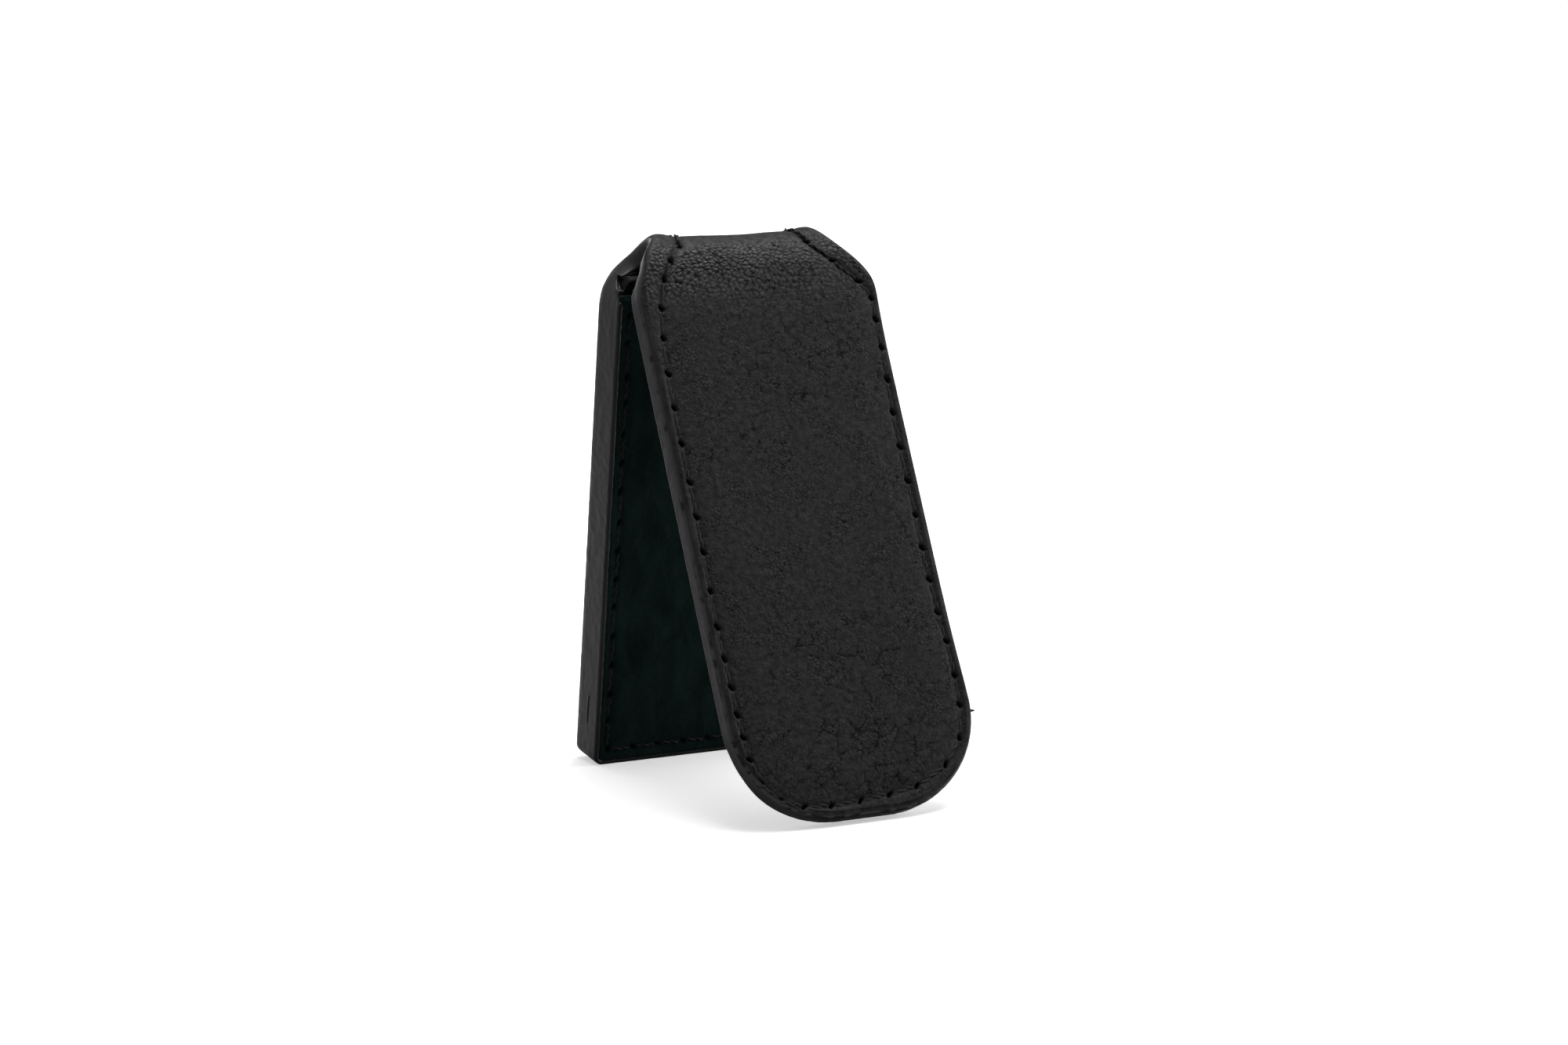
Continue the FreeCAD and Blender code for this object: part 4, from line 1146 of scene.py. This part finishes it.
def bead_sections(x, s, nx, ns, depths, along, sides, slit, r_in, rough=0.032):
    """The painted edge's points at stations (x, sigma) with outward normals (nx, ns)."""
    inset, z, outer = bead_profiles(s, depths, sides, r_in)
    n, m = inset.shape
    along = np.tile(along[:, None], (1, m))
    lump = rough * fbm(along / 2.6, z / 3.0 + 3, 331, 3) + 0.02 * perlin(along / 0.9, z / 1.2, 332)
    skin = streaks(z, along, depths.max(), 340, 0.40 if depths.max() > 4 else 0.15)
    outside = np.zeros(m)
    outside[2:outer] = 1
    fade = np.ones(m)
    fade[2:5] = (0.3, 0.5, 0.8)
    fade[outer - 2 : outer] = (0.6, 0.3)
    dark = np.zeros((n, m))
    inset = inset - (lump + skin) * outside * fade
    if slit:
        s0, s1, at, side = slit
        mask = step(s0 - 0.25, s0 + 0.25, s) * (1 - step(s1 - 0.25, s1 + 0.25, s)) * (x * side > 0) * (np.abs(nx) > 0.7)
        wob = (at + 0.1 * perlin(s / 1.1, 0.5, 451))[:, None]
        g = mask[:, None] * np.exp(-(((z - wob) / 0.085) ** 2)) * outside
        inset = inset + 0.38 * g - 0.05 * mask[:, None] * np.exp(-(((z - wob + 0.2) / 0.14) ** 2)) * outside
        # painted shade in the slit
        dark = np.maximum(dark, g)
    if depths.max() > 4:
        # above the lining's end the inner side is darkened: painted shade
        inner = np.arange(m) >= outer - 4
        inner_shade = step(S2 - 0.1, S2, s) * (1 - step(S2 + 1.9, S2 + 2.5, s)) * (np.abs(nx) > 0.5)
        dark = np.maximum(dark, 0.9 * inner_shade[:, None] * inner[None, :])
    X = x[:, None] - nx[:, None] * inset
    S = s[:, None] - ns[:, None] * inset
    # painted shade: the rows tucked under the face at the paint's lip are darkened as a crease
    crease = np.zeros(m)
    crease[:3] = (1.0, 0.8, 0.25)
    return place(X, S, -z), inset, z, np.clip(dark + crease[None, :], 0, 1), along


def sweep_bead(name, x, s, nx, ns, depths, sides, crown=False, slit=None, r_in=(0.5, 0.6)):
    """The painted edge along stations (x, sigma) with outward normals; depths is each station's thickness."""
    run = np.concatenate([[0], np.cumsum(np.hypot(np.diff(x), np.diff(s)))])
    # the same coordinate along the edge on the leg and on the bend, so that their relief meets
    half = np.minimum(run, run[-1] - run)
    along = s if crown else s[0] - half if s[0] < 5 else s[0] + half
    V, inset, z, dark, along = bead_sections(x, s, nx, ns, depths, along, sides, slit, r_in(s) if callable(r_in) else r_in)
    n, m = inset.shape
    pat = np.zeros((n, m, 3))
    arc = np.concatenate([np.zeros((n, 1)), np.cumsum(np.hypot(np.diff(inset, axis=1), np.diff(z, axis=1)), 1)], 1)
    pat[..., 0], pat[..., 1], pat[..., 2] = along, z, 30
    faces = []
    i = np.arange(n - 1)
    for j in range(m):
        k = (j + 1) % m
        faces += [f for f in np.stack([i * m + j, (i + 1) * m + j, (i + 1) * m + k, i * m + k], -1)]
    faces.append(list(range(m)))
    faces.append(list(range((n - 1) * m, n * m))[::-1])
    span = max(run[-1], 1.0)
    a = arc / (arc.max() + 1) * 0.94 + 0.02
    uv = np.stack([a, np.tile((0.02 + run / span * 0.96)[:, None], (1, m))], -1).reshape(-1, 2)
    faces = outward(V.reshape(-1, 3), faces)
    ob = make_mesh(name, V.reshape(-1, 3), faces, PAINT, {"pat": pat.reshape(-1, 3), "dark": dark.ravel()}, flat=2, uv=uv)
    around = np.roll(V, -1, 1) - np.roll(V, 1, 1)
    onward = np.gradient(V, axis=0)
    for r in (0, n - 1):
        e = 0.08
        side = np.sign(x[r])
        ss = s[r] + np.array([-e, 0, e])
        w, sl = half_width(ss), width_slope(ss)
        q = bead_sections(side * w, ss, side / np.sqrt(1 + sl**2), -sl / np.sqrt(1 + sl**2), np.full(3, depths[r]), ss, sides, None,
                          r_in(ss) if callable(r_in) else r_in)[0]
        around[r] = np.roll(q[1], -1, 0) - np.roll(q[1], 1, 0)
        onward[r] = (q[2] - q[0]) * (1 if s[min(r + 1, n - 1)] >= s[max(r - 1, 0)] else -1)
    normals = np.cross(around, onward)
    normals /= np.maximum(np.linalg.norm(normals, axis=-1), 1e-12)[..., None]
    shade_with(ob, normals, n * m)
    return ob


def leg_depths(s, which):
    thick, drop = (T_FRONT, DROP_F) if which == "front" else (T_BACK, DROP_B)
    d = -s if which == "front" else s - S2
    base, lay = (T_STRAP, thick - T_STRAP) if which == "front" else (2.75, 1.1)
    deep = base + lay * smooth((d - drop + 0.1) / 1.1)
    if which == "back":
        deep = deep + (thick - 1.1 - base) * smooth(d / 2.4)
    return deep


fx, fs, fnx, fns = outline_points("front")
front_edge = sweep_bead("front_edge_paint", fx, fs, fnx, fns, leg_depths(fs, "front"), 8)
bx, bs, bnx, bns = outline_points("back")
back_edge = sweep_bead("back_edge_paint", bx, bs, bnx, bns, leg_depths(bs, "back"), 40, r_in=(0.275, 0.33),
                       slit=(S2 + LB - 8.3, S2 + LB - 4.9, 3.66, -1))
def crown_rounding(s):
    k = 1 - 0.45 * step(7.0, 12.5, s)
    return 0.5 * k, 0.6 * k


crown_edge = []
for k in range(4):
    n = int(math.ceil((ZONES[k + 1] - ZONES[k]) / 0.11))
    sg = np.linspace(ZONES[k], ZONES[k + 1], n + 1)
    parts = []
    for side in (1, -1):
        w, sl = half_width(sg), width_slope(sg)
        nx, ns = side / np.sqrt(1 + sl**2), -sl / np.sqrt(1 + sl**2)
        parts.append(sweep_bead("crown_edge_%d_%d" % (k, side), side * w, sg, nx, ns, strap_depth(sg), 8, crown=True, r_in=crown_rounding))
    crown_edge.append(parts)


# ====================================================================================================
# Stitches: two plies twisted together, dipping into the leather at each hole
# ====================================================================================================
def stitch_mesh(stitches, surface, proud, seed, radius=0.118, lay=1):
    """Vertices, faces and pattern coordinates of twisted stitches. stitches is [((x, s), (x, s))]; surface(x, s) gives out; lay -1 on an inner face."""
    rng = np.random.default_rng(seed)
    V, F, P, base = [], [], [], 0
    for a, b in stitches:
        a, b = np.array(a, float), np.array(b, float)
        length = np.linalg.norm(b - a)
        d = (b - a) / length
        side = np.array([-d[1], d[0]])
        # from one slit's near end to the next one's, so that both slits show
        a, b = a + d * 0.24 - side * 0.13, b - d * 0.24 + side * 0.13
        length = np.linalg.norm(b - a)
        n = max(16, int(length / 0.10))
        t = np.linspace(0, 1, n)
        d = (b - a) / length
        side = np.array([-d[1], d[0]])
        off = 0.09 * np.sin(t * math.pi) * rng.uniform(-1, 1) + 0.03 * np.sin(t * math.pi * 3) * rng.uniform(-1, 1)
        q = a + (b - a) * t[:, None] + side * off[:, None]
        k_proud = proud(q[:, 1]) if callable(proud) else np.full(n, proud)
        lift = np.minimum(1, np.minimum(t, 1 - t) * length / 0.55)
        k_proud = k_proud * (1 + rng.uniform(-0.25, 0.25))
        up = -0.55 + (0.55 + k_proud) * np.sin(lift * math.pi / 2) ** 0.9
        # the thread's bed is the leather without its slits
        base_h = surface(q[:, 0], q[:, 1])
        inner = base_h[int(n * 0.28) : int(n * 0.72)]
        lo = inner.min() if lay > 0 else inner.max()
        base_h = np.maximum(base_h, lo) if lay > 0 else np.minimum(base_h, lo)
        bed = np.convolve(np.pad(base_h, 4, mode="edge"), np.ones(9) / 9, mode="valid")
        centre = place(q[:, 0], q[:, 1], bed + lay * up) * 1000
        tang = np.gradient(centre, axis=0)
        tang /= np.linalg.norm(tang, axis=1)[:, None]
        _, nn = path(q[:, 1])
        nrm = np.stack([np.zeros(n), nn[:, 0], nn[:, 1]], -1) * lay
        bi = np.cross(tang, nrm)
        bi /= np.linalg.norm(bi, axis=1)[:, None]
        nrm = np.cross(bi, tang)
        phase = rng.uniform(0, 2 * math.pi)
        turns = t * length / 2.3 * 2 * math.pi
        sides = 9
        size = 1 + 0.10 * np.sin(t * 9 + phase)
        for ply in range(2):
            ang = phase + turns + ply * math.pi
            c = centre + (0.62 * np.cos(ang)[:, None] * nrm + 1.05 * np.sin(ang)[:, None] * bi) * radius
            ring = np.linspace(0, 2 * math.pi, sides, endpoint=False)
            r = radius * size
            pts = c[:, None, :] + r[:, None, None] * (
                0.85 * np.cos(ring)[None, :, None] * nrm[:, None, :] + 1.1 * np.sin(ring)[None, :, None] * bi[:, None, :]
            )
            V.append(pts.reshape(-1, 3) / 1000)
            pp = np.zeros((n, sides, 3))
            pp[..., 0] = (t * length)[:, None] + (base % 97)
            pp[..., 1] = ring[None, :] * radius + (turns * 0.12)[:, None]
            pp[..., 2] = ply + seed % 50
            P.append(pp.reshape(-1, 3))
            i = np.arange(n - 1)
            for j in range(sides):
                k = (j + 1) % sides
                F += [f for f in np.stack([base + i * sides + j, base + i * sides + k, base + (i + 1) * sides + k, base + (i + 1) * sides + j], -1)]
            F.append([base + j for j in range(sides)][::-1])
            F.append([base + (n - 1) * sides + j for j in range(sides)])
            base += n * sides
    return np.vstack(V), F, np.vstack(P)


def tube(points, radius, sides=7):
    """A tapering tube through points in mm, for a loose thread's ply."""
    p = np.array(points, float)
    tang = np.gradient(p, axis=0)
    tang /= np.linalg.norm(tang, axis=1)[:, None]
    ref = np.array([0.0, 0.3, 1.0])
    bi = np.cross(tang, ref)
    bi /= np.linalg.norm(bi, axis=1)[:, None]
    nn = np.cross(bi, tang)
    r = radius * np.linspace(1, 0.35, len(p))
    ring = np.linspace(0, 2 * math.pi, sides, endpoint=False)
    v = p[:, None, :] + r[:, None, None] * (np.cos(ring)[None, :, None] * nn[:, None, :] + np.sin(ring)[None, :, None] * bi[:, None, :])
    f = []
    i = np.arange(len(p) - 1)
    for j in range(sides):
        k = (j + 1) % sides
        f += [q for q in np.stack([i * sides + j, i * sides + k, (i + 1) * sides + k, (i + 1) * sides + j], -1)]
    f.append(list(range(sides))[::-1])
    f.append([(len(p) - 1) * sides + j for j in range(sides)])
    return v.reshape(-1, 3) / 1000, f


def stitched(name, stitches, surface, proud, seed, lay=1, tails=()):
    v, f, p = stitch_mesh(stitches, surface, proud, seed, lay=lay)
    for points, radius in tails:
        tv, tf = tube(points, radius)
        f = f + [[int(i) + len(v) for i in q] for q in tf]
        v, p = np.vstack([v, tv]), np.vstack([p, tv * 1000])
    return make_mesh(name, v, f, THREAD, {"pat": p})


def pairs(holes):
    return list(zip(holes[:-1], holes[1:]))


def outer_height(x, s):
    h, _, _, _ = face_relief(np.asarray(x, float), np.asarray(s, float))
    return h


zone_of = lambda s: 0 if s < ZONES[1] else 1 if s < ZONES[2] else 2 if s < ZONES[3] else 3
front_pairs = [p for p in pairs(FRONT_HOLES)]
front_leg_pairs = [p for p in front_pairs if max(p[0][1], p[1][1]) <= 0.4]
back_pairs = [p for p in pairs(BACK_HOLES)]
back_leg_pairs = [p for p in back_pairs if min(p[0][1], p[1][1]) >= S2 - 0.4]
crown_pairs = {k: [] for k in range(4)}
for p in front_pairs + back_pairs:
    if p in front_leg_pairs or p in back_leg_pairs:
        continue
    mid = (p[0][1] + p[1][1]) / 2
    crown_pairs[zone_of(mid)].append(p)

def thread_tail(x, s, depth, reach):
    """Where the seam ends: the thread's cut and melted ends stand out of the edge by half a millimetre."""
    tails = []
    for k, (dx, dn, ds) in enumerate(((0.95, 0.25, 0.18), (0.8, -0.18, -0.12), (0.6, 0.05, 0.3))):
        t = np.linspace(0, 1, 7)[:, None]
        a = place(np.array([x - 0.35]), np.array([s + 0.06 * k]), np.array([-depth]))[0] * 1000
        _, nn = path(np.array([s]))
        out = np.array([0, nn[0, 0], nn[0, 1]])
        down = np.array([0, DF[0], DF[1]])
        end = a + np.array([0.35 + reach * dx, 0, 0]) + out * dn * reach + down * ds * reach
        mid = (a + end) / 2 + out * 0.06
        tails.append(((1 - t) ** 2 * a + 2 * t * (1 - t) * mid + t**2 * end, 0.15))
    return tails


def stitch_height(s):
    """Over the bend the thread spans the curve and stands higher."""
    return -0.05 + 0.36 * step(-4.0, 5.0, s) * (1 - step(S2 - 2.5, S2 + 4.0, s))


front_stitches = stitched("front_stitches_outer", front_leg_pairs, outer_height, stitch_height, 601,
                          tails=thread_tail(HWF + 0.10, -57.6, 0.55, 0.22))
back_stitches = stitched("back_stitches_outer", back_leg_pairs, outer_height, stitch_height, 602)


def inner_height(which):
    f = lining_face(which)
    return lambda x, s: f(np.asarray(x, float), np.asarray(s, float))[0]


front_stitches_in = stitched("front_stitches_inner", pairs(INNER_HOLES["front"]), inner_height("front"), -0.03, 603, lay=-1)
back_stitches_in = stitched("back_stitches_inner", pairs(INNER_HOLES["back"]), inner_height("back"), -0.03, 604, lay=-1)
crown_stitches = [
    stitched("crown_stitches_%d" % (k + 1), crown_pairs[k], outer_height, stitch_height, 610 + k) if crown_pairs[k] else None
    for k in range(4)
]


# ====================================================================================================
# Riding and what stands for what
# ====================================================================================================
def join(objects, name):
    ctx = bpy.context.copy()
    bpy.ops.object.select_all(action="DESELECT")
    for o in objects:
        o.select_set(True)
    bpy.context.view_layer.objects.active = objects[0]
    bpy.ops.object.join()
    objects[0].name = name
    objects[0].data.name = name
    return objects[0]


for piece, node, slot in (
    (front_cover, "outer_cover_front", "cover_leather"),
    (front_lining, "lining_front", "lining_suede"),
    (front_edge, None, "edge_leather"),
    (front_stitches, "seam_thread_front_outer", "thread"),
    (front_stitches_in, "seam_thread_front_inner", "thread"),
):
    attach(piece, "front_leg")
    if node:
        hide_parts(node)
for piece, node, slot in (
    (back_cover, "outer_cover_back", "cover_leather"),
    (back_lining, "lining_back", "lining_suede"),
    (back_edge, None, "edge_leather"),
    (back_core_top, None, "edge_leather"),
    (back_stitches, "seam_thread_back_outer", "thread"),
    (back_stitches_in, "seam_thread_back_inner", "thread"),
):
    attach(piece, "back_leg")
    if node:
        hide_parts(node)


def zone_line(k):
    a, na = path(np.array([ZONES[k]]))
    b, nb = path(np.array([ZONES[k + 1]]))
    a, na, b, nb = a[0], na[0], b[0], nb[0]
    # both ends' whole sections, from a little proud to the underside
    ends_a = [a + na * o for o in (0.5, -3.2)]
    ends_b = [b + nb * o for o in (0.5, -3.2)]
    d = (b - nb * 1.0) - (a - na * 1.0)
    d = d / np.linalg.norm(d)
    lo = max(p @ d for p in ends_a)
    hi = min(p @ d for p in ends_b)
    mid = ((a - na) + (b - nb)) / 2
    m = mid @ d
    if hi - lo < 0.6:
        c = (hi + lo) / 2
        lo, hi = c - 0.3, c + 0.3
    p, q = mid + d * (lo - m), mid + d * (hi - m)
    return (0.0, p[0] / 1000, p[1] / 1000), (0.0, q[0] / 1000, q[1] / 1000)


for k in range(4):
    start, end = zone_line(k)
    edge = join(crown_edge[k], "crown_edge_paint_%d" % (k + 1))
    node = min(k + 1, 3)
    pieces = [(crown_cover[k], "crown_cover_%d" % node, "cover_leather"), (crown_backing[k], "crown_backing_%d" % node, "backing_leather"),
              (edge, None, "edge_leather")]
    if crown_stitches[k]:
        pieces.append((crown_stitches[k], "seam_thread_crown_%d" % node, "thread"))
    for piece, stands, slot in pieces:
        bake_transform(piece)
        if stands:
            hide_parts(stands)

for node, material in (
    ("magnet_front_upper", NICKEL), ("magnet_front_lower", NICKEL), ("magnet_back_upper", NICKEL), ("magnet_back_lower", NICKEL),
    ("stiffener_board_back", BOARD), ("magnet_frame_front", CUT), ("magnet_frame_back", CUT), ("backing_layer_back", CUT),
):
    mesh = frame["nodes"][node].data
    mesh.materials.clear()
    mesh.materials.append(material)

# ====================================================================================================
# Floor, light and camera
# ====================================================================================================
floor_mat = bpy.data.materials.new("floor_white")
floor_mat.use_nodes = True
ft = floor_mat.node_tree
fb = ft.nodes["Principled BSDF"]
fb.inputs["Roughness"].default_value = 0.7
fb.inputs["Specular IOR Level"].default_value = 0.2
fb.inputs["Emission Color"].default_value = (1, 1, 1, 1)
# seen directly it is white paper; its bounce onto the clip is a grey card's
seen_by = ft.nodes.new("ShaderNodeLightPath")
albedo = ft.nodes.new("ShaderNodeMapRange")
albedo.inputs[3].default_value, albedo.inputs[4].default_value = 0.45, 0.93
ft.links.new(seen_by.outputs["Is Camera Ray"], albedo.inputs[0])
ft.links.new(albedo.outputs[0], fb.inputs["Base Color"])
spot = ft.nodes.new("ShaderNodeTexCoord")
away = ft.nodes.new("ShaderNodeVectorMath")
away.operation = "LENGTH"
ft.links.new(spot.outputs["Object"], away.inputs[0])
glow = ft.nodes.new("ShaderNodeMapRange")
glow.interpolation_type = "SMOOTHSTEP"
glow.inputs[1].default_value, glow.inputs[2].default_value = 0.05, 0.22
glow.inputs[3].default_value, glow.inputs[4].default_value = 0.45, 1.1
ft.links.new(away.outputs["Value"], glow.inputs[0])
only = ft.nodes.new("ShaderNodeMath")
only.operation = "MULTIPLY"
ft.links.new(glow.outputs[0], only.inputs[0])
ft.links.new(seen_by.outputs["Is Camera Ray"], only.inputs[1])
# painted light: a patch of the floor behind the clip glows for every ray but the camera's, lighting the clip's turned
# edges
shifted = ft.nodes.new("ShaderNodeVectorMath")
shifted.operation = "DISTANCE"
shifted.inputs[1].default_value = (0.05, 0.20, 0)
ft.links.new(spot.outputs["Object"], shifted.inputs[0])
behind_glow = ft.nodes.new("ShaderNodeMapRange")
behind_glow.interpolation_type = "SMOOTHSTEP"
behind_glow.inputs[1].default_value, behind_glow.inputs[2].default_value = 0.06, 0.14
behind_glow.inputs[3].default_value, behind_glow.inputs[4].default_value = 1.5, 0.0
ft.links.new(shifted.outputs["Value"], behind_glow.inputs[0])
other = ft.nodes.new("ShaderNodeMath")
other.operation = "SUBTRACT"
other.inputs[0].default_value = 1.0
ft.links.new(seen_by.outputs["Is Camera Ray"], other.inputs[1])
both = ft.nodes.new("ShaderNodeMath")
both.operation = "MULTIPLY_ADD"
ft.links.new(behind_glow.outputs[0], both.inputs[0])
ft.links.new(other.outputs[0], both.inputs[1])
ft.links.new(only.outputs[0], both.inputs[2])
ft.links.new(both.outputs[0], fb.inputs["Emission Strength"])
me = bpy.data.meshes.new("floor")
me.from_pydata([(-0.9, -0.9, 0), (0.9, -0.9, 0), (0.9, 0.9, 0), (-0.9, 0.9, 0)], [], [(0, 1, 2, 3)])
floor = bpy.data.objects.new("floor", me)
floor.data.materials.append(floor_mat)
bpy.context.scene.collection.objects.link(floor)

world = bpy.data.worlds.new("studio")
bpy.context.scene.world = world
world.use_nodes = True
wt = world.node_tree
wt.nodes.clear()
wo = wt.nodes.new("ShaderNodeOutputWorld")
seen = wt.nodes.new("ShaderNodeBackground")
seen.inputs[0].default_value = (1, 1, 1, 1)
seen.inputs[1].default_value = 1.05
lit = wt.nodes.new("ShaderNodeBackground")
co = wt.nodes.new("ShaderNodeTexCoord")
sep = wt.nodes.new("ShaderNodeSeparateXYZ")
rng = wt.nodes.new("ShaderNodeMapRange")
rng.inputs[1].default_value, rng.inputs[2].default_value = -0.75, 0.45
rng.inputs[3].default_value, rng.inputs[4].default_value = 0.05, 0.5
rng.interpolation_type = "SMOOTHSTEP"
wt.links.new(co.outputs["Generated"], sep.inputs[0])
wt.links.new(sep.outputs[1], rng.inputs[0])
band_x = wt.nodes.new("ShaderNodeValToRGB")
band_x.color_ramp.interpolation = "EASE"
stops = band_x.color_ramp.elements
stops[0].position, stops[0].color = 0.22, (0, 0, 0, 1)
stops[1].position, stops[1].color = 0.36, (1, 1, 1, 1)
for at, v in ((0.52, 1.0), (0.66, 0.0)):
    e = stops.new(at)
    e.color = (v, v, v, 1)
half = wt.nodes.new("ShaderNodeMath")
half.operation = "MULTIPLY_ADD"
half.inputs[1].default_value, half.inputs[2].default_value = 0.5, 0.5
wt.links.new(sep.outputs[0], half.inputs[0])
wt.links.new(half.outputs[0], band_x.inputs[0])
behind = wt.nodes.new("ShaderNodeMapRange")
behind.inputs[1].default_value, behind.inputs[2].default_value = 0.7, 0.9
behind.inputs[3].default_value, behind.inputs[4].default_value = 0.0, 0.15
wt.links.new(sep.outputs[1], behind.inputs[0])
strip = wt.nodes.new("ShaderNodeMath")
strip.operation = "MULTIPLY_ADD"
wt.links.new(behind.outputs[0], strip.inputs[0])
wt.links.new(band_x.outputs[0], strip.inputs[1])
wt.links.new(rng.outputs[0], strip.inputs[2])
leftward = wt.nodes.new("ShaderNodeMapRange")
leftward.interpolation_type = "SMOOTHSTEP"
leftward.inputs[1].default_value, leftward.inputs[2].default_value = -0.35, -0.95
leftward.inputs[3].default_value, leftward.inputs[4].default_value = 0.0, 0.14
wt.links.new(sep.outputs[0], leftward.inputs[0])
summed = wt.nodes.new("ShaderNodeMath")
summed.operation = "ADD"
wt.links.new(strip.outputs[0], summed.inputs[0])
wt.links.new(leftward.outputs[0], summed.inputs[1])
wt.links.new(summed.outputs[0], lit.inputs[1])
lit.inputs[0].default_value = (1, 1, 1, 1)
ray = wt.nodes.new("ShaderNodeLightPath")
mixer = wt.nodes.new("ShaderNodeMixShader")
wt.links.new(ray.outputs["Is Camera Ray"], mixer.inputs[0])
wt.links.new(lit.outputs[0], mixer.inputs[1])
wt.links.new(seen.outputs[0], mixer.inputs[2])
wt.links.new(mixer.outputs[0], wo.inputs[0])


def area(name, at, to, size, power, colour=(1, 1, 1)):
    data = bpy.data.lights.new(name, "AREA")
    data.shape = "RECTANGLE"
    data.size, data.size_y = size
    data.energy = power
    data.color = colour
    ob = bpy.data.objects.new(name, data)
    ob.location = at
    ob.rotation_mode = "QUATERNION"
    ob.rotation_quaternion = (Vector(to) - Vector(at)).to_track_quat("-Z", "Y")
    bpy.context.scene.collection.objects.link(ob)
    return ob


area("overhead", (0.10, 0.03, 0.45), (0, 0.01, 0.04), (0.32, 0.32), 2.35)
area("right", (0.43, -0.13, 0.16), (0, 0, 0.03), (0.25, 0.2), 0.80)
area("side", (0.38, 0.16, 0.08), (0, 0, 0.03), (0.22, 0.16), 0.5)

# the photographer's camera
az, el = math.radians(28.4), math.radians(9.509)
back = Vector((-math.sin(az) * math.cos(el), -math.cos(az) * math.cos(el), math.sin(el)))
target = Vector((7.417, Y0, 30.113)) / 1000
cam_data = bpy.data.cameras.new("camera")
cam_data.lens = 89.41
cam_data.sensor_width = 36
cam_data.clip_start, cam_data.clip_end = 0.01, 20
cam = bpy.data.objects.new("camera", cam_data)
cam.location = target + back * 0.488632
cam.rotation_mode = "QUATERNION"
cam.rotation_quaternion = (-back).to_track_quat("-Z", "Y")
bpy.context.scene.collection.objects.link(cam)
bpy.context.scene.camera = cam
bpy.context.scene.view_settings.view_transform = "Standard"
bpy.context.scene.view_settings.look = "None"

bpy.context.view_layer.update()
